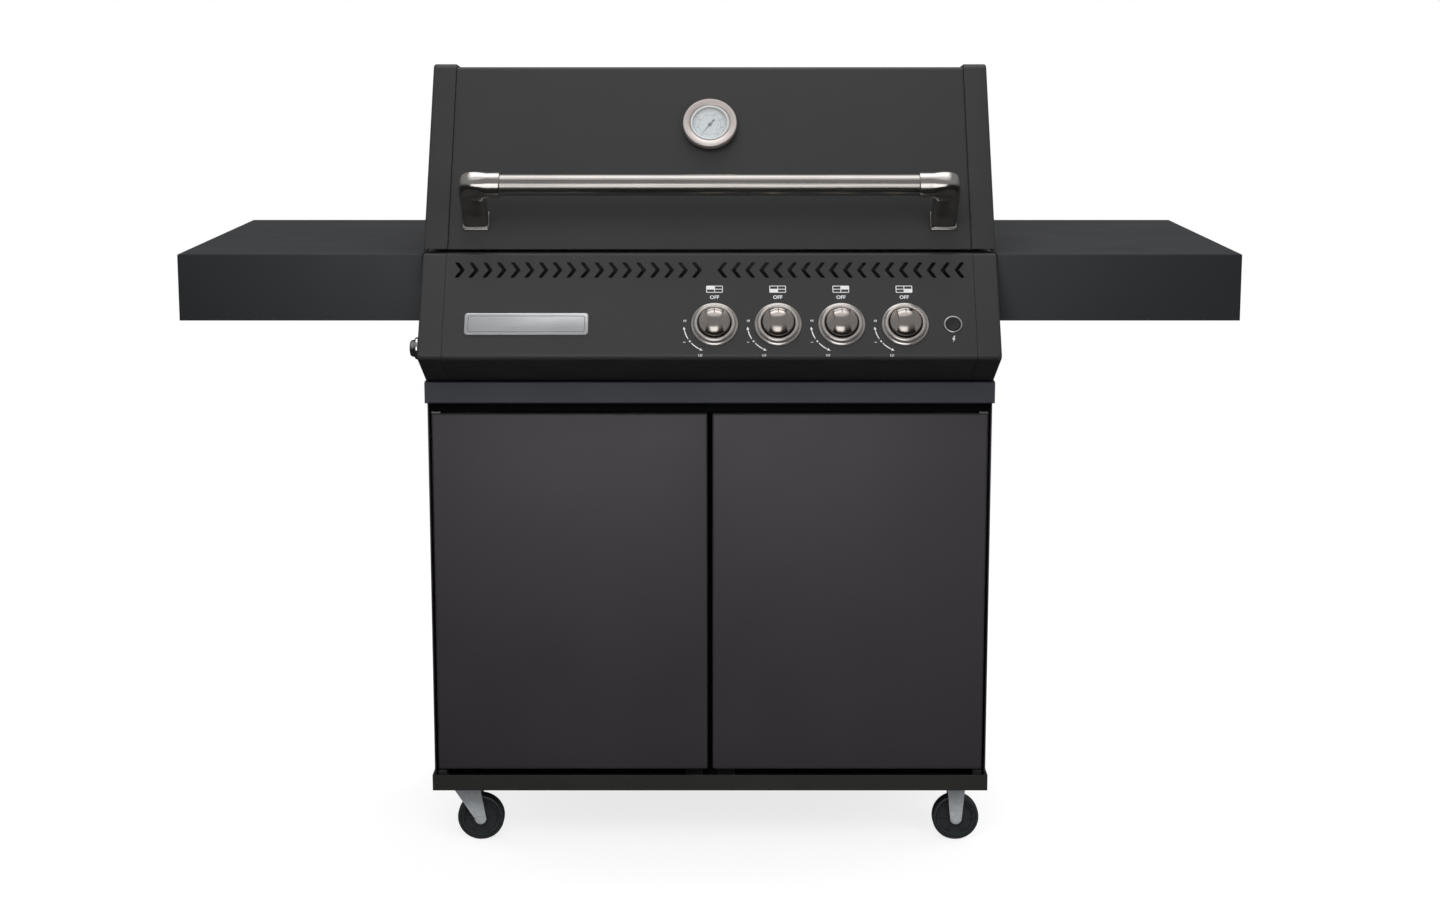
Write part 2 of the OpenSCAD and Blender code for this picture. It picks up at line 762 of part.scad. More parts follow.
// Wheel about the Y axis, with a grooved rim, a sunk web and radial ribs
module wheel(x, y) {
    w = wheel_w / 2;
    web = w - 4;
    hub_r = axle_r + 5;
    profile = [
        [axle_r + run_fit, -hub_half], [hub_r, -hub_half], [hub_r, -web], [wheel_r - 9, -web],
        [wheel_r - 9, -w + 1], [wheel_r - 7, -w], [wheel_r - 6, -w], [wheel_r - 5.5, -w + 2],
        [wheel_r - 4.5, -w + 2], [wheel_r - 4, -w], [wheel_r - 3, -w], [wheel_r, -w + 4],
        [wheel_r, w - 4], [wheel_r - 3, w], [wheel_r - 4, w], [wheel_r - 4.5, w - 2],
        [wheel_r - 5.5, w - 2], [wheel_r - 6, w], [wheel_r - 7, w], [wheel_r - 9, w - 1],
        [wheel_r - 9, web], [hub_r, web], [hub_r, hub_half], [axle_r + run_fit, hub_half]
    ];
    translate([x, y, wheel_r]) rotate([90, 0, 0]) {
        rotate_extrude() polygon(profile);
        for (k = [0:5]) rotate(k * 60 + 30)
            translate([hub_r - 1, -1, -w + 2]) cube([wheel_r - 9 - hub_r + 2, 2, wheel_w - 4]);
    }
}

module left_front_wheel() {
    color("#2e3233") seat() wheel(trail - swivel_x, caster_front_y);
}

module left_rear_wheel() {
    color("#2e3233") seat() wheel(trail - swivel_x, caster_rear_y);
}

module right_front_wheel() {
    color("#2e3233") seat() wheel(fixed_x, caster_front_y);
}

module right_rear_wheel() {
    color("#2e3233") seat() wheel(fixed_x, caster_rear_y);
}

// ---- Side shelves ----

// One shelf on the right, open underneath
module shelf() {
    out_x = cheek_x + shelf_w;
    difference() {
        block([cheek_x, 0, shelf_top_z - shelf_h], [out_x, shelf_d, shelf_top_z]);
        block([cheek_x + sheet_t, sheet_t, shelf_top_z - shelf_h - cut],
              [out_x - sheet_t, shelf_d - sheet_t, shelf_top_z - sheet_t]);
    }
}

module left_shelf() {
    color("#37363c") seat() mirror([1, 0, 0]) shelf();
}

module right_shelf() {
    color("#37363c") seat() shelf();
}

module shelf_undersides() {
    z = shelf_top_z - shelf_h + shelf_plate_rise;
    color("#2d2f2f") seat() pair()
        block([cheek_x + sheet_t, sheet_t, z],
              [cheek_x + shelf_w - sheet_t, shelf_d - sheet_t, z + sheet_t]);
}

// ---- Control panel ----

// One arrow-shaped vent that points to +X
module vent() {
    h = vent_h / 2;
    polygon([
        [0, h], [vent_w, h], [vent_run + vent_w, 0], [vent_w, -h], [0, -h], [vent_run, 0]
    ]);
}

module control_panel() {
    color("#404042") seat() difference() {
        span_x(-inner_half, inner_half) bent_outline(panel_path, panel_radii, sheet_t);
        for (i = [0:vent_count - 1]) pair()
            on_panel(-vent_gap / 2 - vent_run - vent_w - i * vent_pitch, vent_s)
                translate([0, 0, -sheet_t - cut]) linear_extrude(sheet_t + 2 * cut) vent();
        for (k = [1:4]) on_panel(knob_x(k), knob_s)
            cylinder(r = stem_r + 4, h = 4 * sheet_t, center = true);
        on_panel(igniter_x, knob_s) cylinder(r = igniter_hole_r, h = 4 * sheet_t, center = true);
    }
}

module panel_end_caps() {
    outer = rounded(panel_path, panel_radii);
    color("#3c3b3b") seat() pair() {
        span_x(inner_half, half_w) bent_outline(panel_path, panel_radii, panel_cap_t);
        span_x(half_w - cap_plate_t, half_w) polygon(outer);
    }
}

module badge_plate() {
    color("#e4e5e6") seat() on_panel(badge_x, knob_s)
        linear_extrude(badge_t) round_rect(badge_w, badge_h, badge_r);
}

module knob_bezels() {
    h = bezel_h;
    profile = [
        [bezel_hole_r, 0], [bezel_r, 0], [bezel_r, h * 0.3], [bezel_r - 1, h * 0.45],
        [bezel_r - 3, h * 0.5], [bezel_r - 3.6, h * 0.8], [bezel_r - 5, h], [bezel_hole_r + 1.2, h],
        [bezel_hole_r, h * 0.8]
    ];
    color("#b5b0ae") seat() for (k = [1:4]) on_panel(knob_x(k), knob_s) rotate_extrude() polygon(profile);
}

module side_cap() {
    cap_y = nose_y + 24;
    cap_z = nose_z + 10;
    h = side_cap_h;
    color("#c8c9cb") seat() translate([-half_w, cap_y, cap_z]) rotate([0, -90, 0]) rotate_extrude()
        polygon([
            [0, 0], [side_cap_r, 0], [side_cap_r, h * 0.3], [side_cap_r - 1.5, h * 0.45],
            [side_cap_r - 3, h * 0.5], [side_cap_r - 3.5, h * 0.85], [side_cap_r - 6, h], [0, h]
        ]);
}

module igniter_ring() {
    h = 2.5;
    color("#c8c9cb") seat() on_panel(igniter_x, knob_s) rotate_extrude() polygon([
        [button_sleeve_r, -16], [igniter_hole_r, -16], [igniter_hole_r, 0], [igniter_ring_r, 0],
        [igniter_ring_r, h * 0.5], [igniter_ring_r - 0.8, h], [button_sleeve_r, h]
    ]);
}

module igniter_button() {
    color("#1f1f20") seat() on_panel(igniter_x, knob_s) rotate_extrude() polygon([
        [0, -20], [button_r, -20], [button_r, button_h - 1], [button_r - 1, button_h], [0, button_h]
    ]);
}

module igniter_module() {
    room = -20 - knob_push - 1;
    back = rail_r + 2 - rail_depth;
    color("#3a3a3c") seat() on_panel(igniter_x, knob_s) rotate_extrude() polygon([
        [0, back], [igniter_hole_r + 2, back], [igniter_hole_r + 2, -6], [igniter_hole_r, -6],
        [igniter_hole_r, room], [0, room]
    ]);
}

// ---- Knobs and valves ----

module valve_stem(k) {
    color("#b9babc") seat() on_panel(knob_x(k), knob_s) {
        translate([0, 0, stem_back]) cylinder(r = stem_r, h = stem_front - stem_back);
        translate([0, 0, valve_front + knob_push + 1]) cylinder(r = stem_r + 2, h = 3);
    }
}

module valve_stem_1() { valve_stem(1); }
module valve_stem_2() { valve_stem(2); }
module valve_stem_3() { valve_stem(3); }
module valve_stem_4() { valve_stem(4); }

module knob(k) {
    base = knob_lift;
    rim = base + knob_rim;
    r = knob_r;
    color("#5e554f") seat() on_panel(knob_x(k), knob_s) difference() {
        rotate_extrude() polygon(concat(
            [[0, base], [r, base], [r, rim]],
            [for (a = [15:15:75]) [r * cos(a), rim + (knob_top - rim) * sin(a)]],
            [[0, knob_top]]
        ));
        // Hollows that leave the grip standing
        for (s = [-1, 1]) translate([s * (grip_half + scoop_r), 0, rim + scoop_lift])
            cylinder(r = scoop_r, h = knob_top);
        translate([0, 0, base - cut]) cylinder(r = stem_r + run_fit, h = stem_front - base + cut + face_fit);
    }
}

module knob_1() { knob(1); }
module knob_2() { knob(2); }
module knob_3() { knob(3); }
module knob_4() { knob(4); }

// The gas rail behind the panel
module gas_rail() {
    low = panel_point(knob_x(1) - 25, knob_s, -rail_depth);
    high = panel_point(gas_side_x, knob_s, -rail_depth);
    back = [high[0], cabinet_rear_y + 8, high[2]];
    bent_rod([low, high, back], rail_r);
}

module gas_manifold() {
    corner = panel_point(gas_side_x, knob_s, -rail_depth);
    end_y = cabinet_rear_y + 8 + inlet_len;
    color("#8f8f92") seat() {
        gas_rail();
        // Inlet collar and the spigot that stands out of it
        rod([corner[0], cabinet_rear_y, corner[2]], [corner[0], end_y - inlet_len, corner[2]], rail_r + 4);
        rod([corner[0], cabinet_rear_y, corner[2]], [corner[0], end_y, corner[2]], rail_r);
    }
}

module gas_valves() {
    color("#c9a45c") seat() difference() {
        for (k = [1:4]) on_panel(knob_x(k), knob_s) difference() {
            union() {
                translate([0, 0, valve_back]) cylinder(r = valve_r, h = -sheet_t - valve_back);
                translate([0, 0, -rail_depth]) cylinder(r = valve_r - 4, h = rail_depth + valve_back + cut);
                translate([0, 0, outlet_h]) rotate([panel_slope - 90, 0, 0]) rotate([180, 0, 0])
                    cylinder(r = supply_r + 2, h = outlet_len);
            }
            translate([0, 0, stem_back - knob_push - 2]) cylinder(r = stem_r + run_fit, h = rail_depth);
            // Room for the stem's collar, under the front that is screwed to the panel
            translate([0, 0, valve_front]) cylinder(r = stem_r + 3.5, h = rail_depth);
        }
        gas_rail();
    }
}

// Mixing tube that serves each knob's burner, and how far back that burner's middle is
mixers = [
    [-mixer_outer_x, burner_rear_y], [-mixer_inner_x, burner_front_y],
    [mixer_inner_x, burner_rear_y], [mixer_outer_x, burner_front_y]
];
mixer_front_y = box_front_y - 14;
injector_seat = 6;

module supply_tubes() {
    color("#b07d4f") seat() for (k = [1:4]) {
        top = panel_point(knob_x(k), knob_s, outlet_h);
        // Knobs 1 and 3 run over the top of their neighbours' tubes
        level = k == 1 || k == 3 ? head_z + 36 : head_z + 28;
        end_x = mixers[k - 1][0];
        drop_y = mixer_front_y - 12;
        bent_rod([
            [top[0], top[1], top[2] - outlet_len],
            [top[0], top[1], level],
            [end_x, top[1], level],
            [end_x, drop_y, level],
            [end_x, drop_y, mixer_z],
            [end_x, mixer_front_y + injector_seat, mixer_z]
        ], supply_r);
    }
}

module mixer_tubes() {
    color("#9c9c9e") seat() for (m = mixers) difference() {
        union() {
            rod([m[0], mixer_front_y, mixer_z], [m[0], m[1], mixer_z], mixer_r);
            translate([m[0], m[1], mixer_z]) sphere(mixer_r);
            rod([m[0], m[1], mixer_z], [m[0], m[1], burner_z], mixer_r);
        }
        // Injector seat
        rod([m[0], mixer_front_y - cut, mixer_z], [m[0], mixer_front_y + injector_seat, mixer_z], mixer_r - 2);
    }
}

// ---- Firebox ----

module firebox_sides() {
    wall_x = box_w / 2;
    color("#2a2a2b") seat() pair() {
        difference() {
            block([wall_x, box_front_y, rail_top_z], [cheek_x, cabinet_rear_y, rim_z]);
            block([wall_x + sheet_t, box_front_y - cut, rail_top_z - cut],
                  [cheek_x - sheet_t, cabinet_rear_y + cut, rim_z - sheet_t]);
        }
        // Ear that carries the hood's hinge pin
        difference() {
            span_x(ear_x - hinge_ear_t, ear_x) {
                polygon([
                    [cabinet_rear_y - 40, rim_z], [cabinet_rear_y - 8, rim_z],
                    [hinge_y + 8, hinge_z - 7.5], [hinge_y - 8, hinge_z + 7.5]
                ]);
                translate([hinge_y, hinge_z]) circle(hinge_boss_r);
            }
            translate([ear_x - hinge_ear_t - cut, hinge_y, hinge_z]) rotate([0, 90, 0])
                cylinder(r = hinge_pin_r + run_fit, h = hinge_ear_t + 2 * cut);
        }
    }
}

// Front or rear wall of the firebox: y is its inner face and s is 1 where the chamber lies behind it
module firebox_wall(y, s) {
    edge = box_w / 2;
    a = min(y, y - s * sheet_t);
    block([-edge, a, head_z + sheet_t], [edge, a + sheet_t, rim_z - 2 * sheet_t]);
    for (z = [cook_z, guard_z]) {
        low = min(y - s * sheet_t, y + s * ledge_d);
        block([-edge, low, z - sheet_t], [edge, low + ledge_d + sheet_t, z]);
    }
}

module firebox_ends() {
    color("#2a2a2b") seat() {
        difference() {
            firebox_wall(box_front_y + sheet_t, 1);
            for (m = mixers)
                rod([m[0], box_front_y - cut, mixer_z], [m[0], box_front_y + sheet_t + cut, mixer_z],
                    mixer_r + face_fit);
        }
        firebox_wall(box_rear_y - sheet_t, -1);
    }
}

module firebox_floor() {
    hole = tray_w / 2 - floor_hole_inset;
    mid_y = (box_front_y + box_rear_y) / 2;
    color("#2a2a2b") seat() difference() {
        block([-box_w / 2, box_front_y, head_z], [box_w / 2, box_rear_y, floor_z]);
        block([-hole, mid_y - floor_hole_d / 2, head_z - cut], [hole, mid_y + floor_hole_d / 2, floor_z + cut]);
    }
}

// Runs the child at each of the four burners' centres
module at_burners() {
    for (x = [-burner_x, burner_x], y = [burner_front_y, burner_rear_y])
        translate([x, y, burner_z]) children();
}

module burner_housings() {
    l = burner_l / 2;
    w = burner_w / 2;
    color("#8d8d8f") seat() at_burners() difference() {
        block([-l, -w, 0], [l, w, burner_h]);
        block([-l + tile_seat, -w + tile_seat, burner_h - tile_t], [l - tile_seat, w - tile_seat, burner_h + cut]);
        block([-l + 3 * tile_seat, -w + 3 * tile_seat, 2], [l - 3 * tile_seat, w - 3 * tile_seat, burner_h]);
    }
}

module burner_tiles() {
    l = burner_l / 2 - tile_seat - face_fit;
    w = burner_w / 2 - tile_seat - face_fit;
    color("#d8cdb8") seat() at_burners() block([-l, -w, burner_h - tile_t], [l, w, burner_h + 2]);
}

module electrodes() {
    y = -burner_w / 2;
    color("#e3ddd0") seat() at_burners() {
        block([-4, y - 8, 4], [4, y, burner_h + 8]);
        rod([0, y - 4, burner_h + 8 - cut], [0, y - 4, burner_h + 13], 1.5);
        translate([0, y - 4, burner_h + 13]) sphere(1.5);
        rod([0, y - 4, burner_h + 13], [0, y + 14, burner_h + 13], 1.5);
    }
}

module flame_guards() {
    w = guard_half;
    rise = guard_rise;
    fold = 2 * guard_t;
    color("#6f7072") seat() for (i = [0:guard_count - 1])
        translate([(i + 0.5) * guard_step - box_w / 2, grate_rear_y, guard_z]) rotate([90, 0, 0])
            linear_extrude(grate_rear_y - grate_front_y)
                polygon([[-w, 0], [-w + fold, 0], [0, rise - fold], [w - fold, 0], [w, 0], [0, rise]]);
}

// ---- Cooking surfaces ----

// One cast grate between x0 and x1
module grate(x0, x1) {
    bars = floor((x1 - x0 - 2 * grate_bar) / grate_pitch);
    step = (x1 - x0 - grate_bar) / bars;
    mid = (grate_front_y + grate_rear_y) / 2;
    difference() {
        block([x0, grate_front_y, cook_z], [x1, grate_rear_y, cook_z + grate_h]);
        for (i = [0:bars - 1]) {
            left = x0 + grate_bar + i * step;
            for (y = [[grate_front_y + 9, mid - 4], [mid + 4, grate_rear_y - 9]])
                block([left, y[0], cook_z - cut], [left + step - grate_bar, y[1], cook_z + grate_h + cut]);
        }
    }
}

module cooking_grates() {
    color("#2b2b2c") seat() pair() grate(hotplate_w / 2 + plate_gap, plate_edge_x);
}

module hotplate() {
    edge = hotplate_w / 2;
    color("#2f2f30") seat() difference() {
        block([-edge, grate_front_y, cook_z], [edge, grate_rear_y, cook_z + grate_h]);
        block([-edge + 8, grate_front_y + 8, cook_z + grate_h - hotplate_rim],
              [edge - 8, grate_rear_y - 8, cook_z + grate_h + cut]);
    }
}

module warming_rack() {
    z = rim_z + rack_rise;
    front = rack_rear_y - rack_d;
    leg_x = box_w / 2 + 12;
    count = floor((leg_x * 2 - 20) / wire_pitch);
    step = (leg_x * 2 - 20) / count;
    color("#a7a8aa") seat() {
        for (y = [front, (front + rack_rear_y) / 2, rack_rear_y]) {
            rod([-leg_x, y, z], [leg_x, y, z], wire_r + 1);
        }
        for (i = [0:count]) {
            x = -leg_x + 10 + i * step;
            rod([x, front - 6, z + wire_r + 1.5], [x, rack_rear_y + 6, z + wire_r + 1.5], wire_r);
        }
        for (x = [-leg_x, leg_x], y = [front, rack_rear_y]) {
            rod([x, y, rim_z], [x, y, z], wire_r + 1);
            translate([x, y, z]) sphere(wire_r + 1);
        }
    }
}

// ---- Drip tray ----

module drip_tray() {
    half = tray_w / 2;
    rear = tray_front_y + tray_d;
    color("#b3b4b6") seat() {
        difference() {
            block([-half, tray_front_y, tray_z], [half, rear, tray_z + tray_h]);
            block([-half + tray_floor, tray_front_y + tray_floor, tray_z + tray_floor],
                  [half - tray_floor, rear - tray_floor, tray_z + tray_h + cut]);
        }
        // Pull at the back
        block([-half / 2, rear - cut, tray_z], [half / 2, rear + 14, tray_z + tray_floor]);
        block([-half / 2, rear + 14 - tray_floor, tray_z], [half / 2, rear + 14, tray_z + 10]);
    }
}

module tray_runners() {
    in_x = tray_w / 2 + tray_side_fit;
    foot = tray_z - face_fit;
    color("#6f7072") seat() pair() {
        block([in_x, box_front_y + 8, foot - sheet_t], [in_x + sheet_t, box_rear_y - 4, head_z]);
        block([in_x - 10, box_front_y + 8, foot - sheet_t], [in_x + sheet_t, box_rear_y - 4, foot]);
    }
}

// ---- Hood ----

module lid_skin() {
    color("#3a3a3a") seat() difference() {
        span_x(-inner_half, inner_half) bent_outline(lip_path, lip_radii, -sheet_t);
        on_hood(0, gauge_s) cylinder(r = probe_r + 1, h = 6 * sheet_t, center = true);
    }
}

module lid_end_caps() {
    proud = shifted(hood_path, cap_proud);
    radii = shifted_radii(hood_path, hood_radii, cap_proud);
    outer = rounded(proud, radii);
    rim_z_end = hinge_z + rim_end_rise;
    color("#3c3b3b") seat() pair() difference() {
        union() {
            difference() {
                span_x(inner_half, half_w) bent_outline(proud, radii, -cap_proud - sheet_t);
                block([0, hinge_y - 5, 0], [half_w - cap_plate_t, hood_back_y + 3 * cap_proud, rim_z_end]);
            }
            span_x(half_w - cap_plate_t, half_w)
                polygon(concat(outer, [[hood_back_y + cap_proud, hood_z]]));
        }
        block([0, -body_w, 0], [body_w, body_w, hood_z]);
        translate([half_w - cap_plate_t - cut, hinge_y, hinge_z]) rotate([0, 90, 0])
            cylinder(r = hinge_pin_r, h = cap_plate_t + 2 * cut);
    }
}

module hood_hinge_pins() {
    start = ear_x - hinge_ear_t - 2;
    color("#8f9092") seat() pair() translate([start, hinge_y, hinge_z]) rotate([0, 90, 0]) {
        cylinder(r = hinge_pin_r, h = half_w - start + cut);
        translate([0, 0, half_w - start]) cylinder(r = hinge_pin_r + 3, h = 2);
    }
}

module handle_bar() {
    half = tube_half + tube_depth;
    color("#b2aeaa") seat() rod([-half, bar_y, bar_z], [half, bar_y, bar_z], tube_r);
}

module handle_brackets() {
    start = tube_half;
    behind = leg_len + foot_len;
    color("#b5b0ae") seat() pair() difference() {
        union() {
            rod([start, bar_y, bar_z], [elbow_x, bar_y, bar_z], socket_r);
            translate([elbow_x, bar_y, bar_z]) sphere(socket_r);
            // Leg down to the hood
            translate([elbow_x, bar_y, bar_z]) rotate([-180 + leg_turn, 0, 0])
                linear_extrude(leg_len + 20) round_rect(2 * socket_r, leg_t, 6);
            // Foot
            on_hood(elbow_x, foot_s) linear_extrude(foot_t) round_rect(2 * socket_r + 2, foot_len, 3);
        }
        // Everything behind the hood's face
        on_hood(elbow_x, foot_s) translate([-behind, -behind, -behind]) cube([2 * behind, 2 * behind, behind]);
        rod([0, bar_y, bar_z], [start + tube_depth, bar_y, bar_z], tube_r);
    }
}

module gauge_case() {
    h = gauge_h;
    ring_in = gauge_r - gauge_ring_w;
    color("#cbc1c0") seat() on_hood(0, gauge_s) {
        rotate_extrude() polygon([
            [0, 0], [gauge_r - 5, 0], [gauge_r - 5, h * 0.35], [gauge_r - 0.8, h * 0.4],
            [gauge_r, h * 0.5], [gauge_r, h - 1], [gauge_r - 1, h], [ring_in + 1, h],
            [ring_in, h - 1.5], [ring_in - 1, h - 1.5], [ring_in - 1.4, h - 0.6],
            [dial_r + 0.6, h - 0.6], [dial_r, h - 1.4], [dial_r, h - 3], [dial_r + 2, h - 3],
            [dial_r + 2, h - 4.5], [dial_r, h - 4.5], [dial_r, h * 0.45], [0, h * 0.45]
        ]);
        // Probe, through the skin
        translate([0, 0, -probe_len]) cylinder(r = probe_r, h = probe_len + cut);
    }
}

module gauge_dial() {
    base = gauge_h * 0.45;
    color("#bcc3c5") seat() on_hood(0, gauge_s) {
        translate([0, 0, base]) cylinder(r = dial_r, h = 1);
        // Post that carries the needle
        translate([0, 0, base]) cylinder(r = 1, h = gauge_h - 5 - base);
    }
}

module gauge_glass() {
    color("#dfe8ec", 0.35) seat() on_hood(0, gauge_s)
        translate([0, 0, gauge_h - 4.5]) cylinder(r = dial_r + 2, h = 1.5);
}

module gauge_needle() {
    color("#2a2a2b") seat() on_hood(0, gauge_s)
        translate([0, 0, gauge_h - 6.8]) rotate(-needle_cold) difference() {
            union() {
                linear_extrude(0.8) polygon([
                    [-1.1, -needle_tail], [1.1, -needle_tail], [0.7, 0], [0.15, needle_len], [-0.15, needle_len],
                    [-0.7, 0]
                ]);
                cylinder(r = 2.5, h = 0.8);
            }
            translate([0, 0, -cut]) cylinder(r = 1 + run_fit, h = 4);
        }
}

base_pan();
cabinet_sides();
rear_panel();
top_rails();
door_hinge_pins();
door_catches();
caster_plates();
fixed_caster_forks();
left_front_fork();
left_rear_fork();
left_front_wheel();
left_rear_wheel();
right_front_wheel();
right_rear_wheel();
left_door();
right_door();
left_shelf();
right_shelf();
shelf_undersides();
control_panel();
panel_end_caps();
badge_plate();
knob_bezels();
side_cap();
igniter_ring();
igniter_button();
igniter_module();
firebox_sides();
firebox_ends();
firebox_floor();
burner_housings();
burner_tiles();
mixer_tubes();
electrodes();
flame_guards();
cooking_grates();
hotplate();
warming_rack();
gas_manifold();
gas_valves();
supply_tubes();
drip_tray();
tray_runners();
valve_stem_1();
valve_stem_2();
valve_stem_3();
valve_stem_4();
knob_1();
knob_2();
knob_3();
knob_4();
lid_skin();
lid_end_caps();
handle_bar();
handle_brackets();
hood_hinge_pins();
gauge_case();
gauge_dial();
gauge_glass();
gauge_needle();
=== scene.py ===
# Looks of a four-burner hooded gas barbecue on a trolley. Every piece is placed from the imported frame.
import json
import math

import bmesh
import bpy
from mathutils import Matrix, Vector

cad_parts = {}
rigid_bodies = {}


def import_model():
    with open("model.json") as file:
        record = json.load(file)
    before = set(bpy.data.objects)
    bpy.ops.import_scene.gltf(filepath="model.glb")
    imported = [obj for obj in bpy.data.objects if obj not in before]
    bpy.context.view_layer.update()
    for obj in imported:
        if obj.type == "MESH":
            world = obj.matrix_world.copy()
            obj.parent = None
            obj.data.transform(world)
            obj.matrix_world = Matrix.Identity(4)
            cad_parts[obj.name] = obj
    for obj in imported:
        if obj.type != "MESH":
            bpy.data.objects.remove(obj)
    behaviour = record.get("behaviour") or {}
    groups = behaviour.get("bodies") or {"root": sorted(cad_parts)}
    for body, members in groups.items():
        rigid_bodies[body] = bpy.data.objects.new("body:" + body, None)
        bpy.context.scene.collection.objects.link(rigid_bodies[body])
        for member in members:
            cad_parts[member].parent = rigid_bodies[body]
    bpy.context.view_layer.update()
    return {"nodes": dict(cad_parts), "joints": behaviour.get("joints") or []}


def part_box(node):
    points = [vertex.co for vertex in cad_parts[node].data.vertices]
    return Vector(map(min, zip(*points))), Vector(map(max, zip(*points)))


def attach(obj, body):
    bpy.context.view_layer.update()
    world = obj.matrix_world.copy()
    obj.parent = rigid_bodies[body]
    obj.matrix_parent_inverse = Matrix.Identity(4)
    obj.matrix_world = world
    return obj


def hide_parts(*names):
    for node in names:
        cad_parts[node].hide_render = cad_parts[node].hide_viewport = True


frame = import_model()

bl_info = {
    "name": "Hooded Gas Barbecue",
    "version": (1, 0, 0),
    "blender": (4, 5, 0),
    "location": "3D View > Sidebar > Barbecue",
    "description": "Builds the visible pieces and finishes of a four-burner gas barbecue",
    "category": "Object",
}

JOINT = {joint["name"]: joint for joint in frame["joints"]}
TROLLEY, HOOD = "trolley", "hood"
KNOBS = range(1, 5)
MM = 0.001


def srgb(red, green, blue):
    """Scene-linear colour of an 8-bit display colour."""
    def one(value):
        value /= 255
        return value / 12.92 if value <= 0.04045 else ((value + 0.055) / 1.055) ** 2.4
    return (one(red), one(green), one(blue))


# ---- Settings that a user would change ----


class BarbecueSizes(bpy.types.PropertyGroup):
    """Sizes of the visible detail."""

    panel_face: bpy.props.FloatProperty(
        name="Panel face", description="Length of the control panel's sloping face",
        default=0.1527, unit="LENGTH")
    hood_face: bpy.props.FloatProperty(
        name="Hood face", description="Length of the hood's sloping face", default=0.279, unit="LENGTH")
    sheet: bpy.props.FloatProperty(
        name="Sheet", description="Thickness of the painted steel", default=0.0015, unit="LENGTH")
    fold: bpy.props.FloatProperty(
        name="Fold radius", description="Outer radius of the folded edges", default=0.0022, unit="LENGTH")
    cap_proud: bpy.props.FloatProperty(
        name="Cap step", description="How far the hood end caps stand proud", default=0.004, unit="LENGTH")
    cap_edge: bpy.props.FloatProperty(
        name="Cap edge", description="Radius of the end caps' outer edges", default=0.003, unit="LENGTH")
    vent_count: bpy.props.IntProperty(
        name="Vents", description="Number of vent slots in each half", default=18, min=1)
    vent_pitch: bpy.props.FloatProperty(
        name="Vent pitch", description="Spacing of the vent slots", default=0.0184, unit="LENGTH")
    screw_radius: bpy.props.FloatProperty(
        name="Screw head", description="Radius of the screw heads", default=0.0042, unit="LENGTH")
    tick_count: bpy.props.IntProperty(
        name="Dial ticks", description="Number of ticks round the thermometer", default=51, min=2)


class BarbecueColours(bpy.types.PropertyGroup):
    """Colours of the main finishes."""

    hood: bpy.props.FloatVectorProperty(
        name="Hood", description="Paint of the hood and panel", subtype="COLOR", default=srgb(48, 48, 48))
    cabinet: bpy.props.FloatVectorProperty(
        name="Cabinet", description="Paint of the doors and cabinet", subtype="COLOR",
        default=srgb(62, 59, 63))
    shelf: bpy.props.FloatVectorProperty(
        name="Shelves", description="Paint of the side shelves", subtype="COLOR", default=srgb(38, 40, 43))
    steel: bpy.props.FloatVectorProperty(
        name="Steel", description="Brushed steel", subtype="COLOR", default=srgb(178, 174, 170))
    chrome: bpy.props.FloatVectorProperty(
        name="Chrome", description="Polished metal of the knobs", subtype="COLOR",
        default=srgb(186, 178, 172))
    ink: bpy.props.FloatVectorProperty(
        name="Ink", description="Printed marks on the panel", subtype="COLOR", default=srgb(242, 242, 242))


def sizes():
    return bpy.context.scene.barbecue_sizes


def colours():
    return bpy.context.scene.barbecue_colours


# ---- Materials ----


class NodeBench:
    """Adds nodes to a tree and joins them."""

    def __init__(self, tree):
        self.tree = tree

    def node(self, kind, inputs=(), **settings):
        """A new node with its settings and the values of its unlinked inputs."""
        node = self.tree.nodes.new(kind)
        for key, value in settings.items():
            setattr(node, key, value)
        for socket, value in dict(inputs).items():
            node.inputs[socket].default_value = value
        return node

    def link(self, *pairs):
        """Joins each pair of an output and an input."""
        for source, target in pairs:
            self.tree.links.new(source, target)

    def arithmetic(self, operation, *values):
        """Output of a Math node for two values, each an output or a plain number."""
        node = self.node("ShaderNodeMath", operation=operation)
        for socket, value in zip(node.inputs, values):
            if isinstance(value, float):
                socket.default_value = value
            else:
                self.link((value, socket))
        return node.outputs[0]

    def blend(self, share, first, second):
        """Mixes two shaders, from the first at 0 to the second at 1."""
        mix = self.node("ShaderNodeMixShader")
        self.link((share, mix.inputs[0]), (first, mix.inputs[1]), (second, mix.inputs[2]))
        return mix.outputs[0]


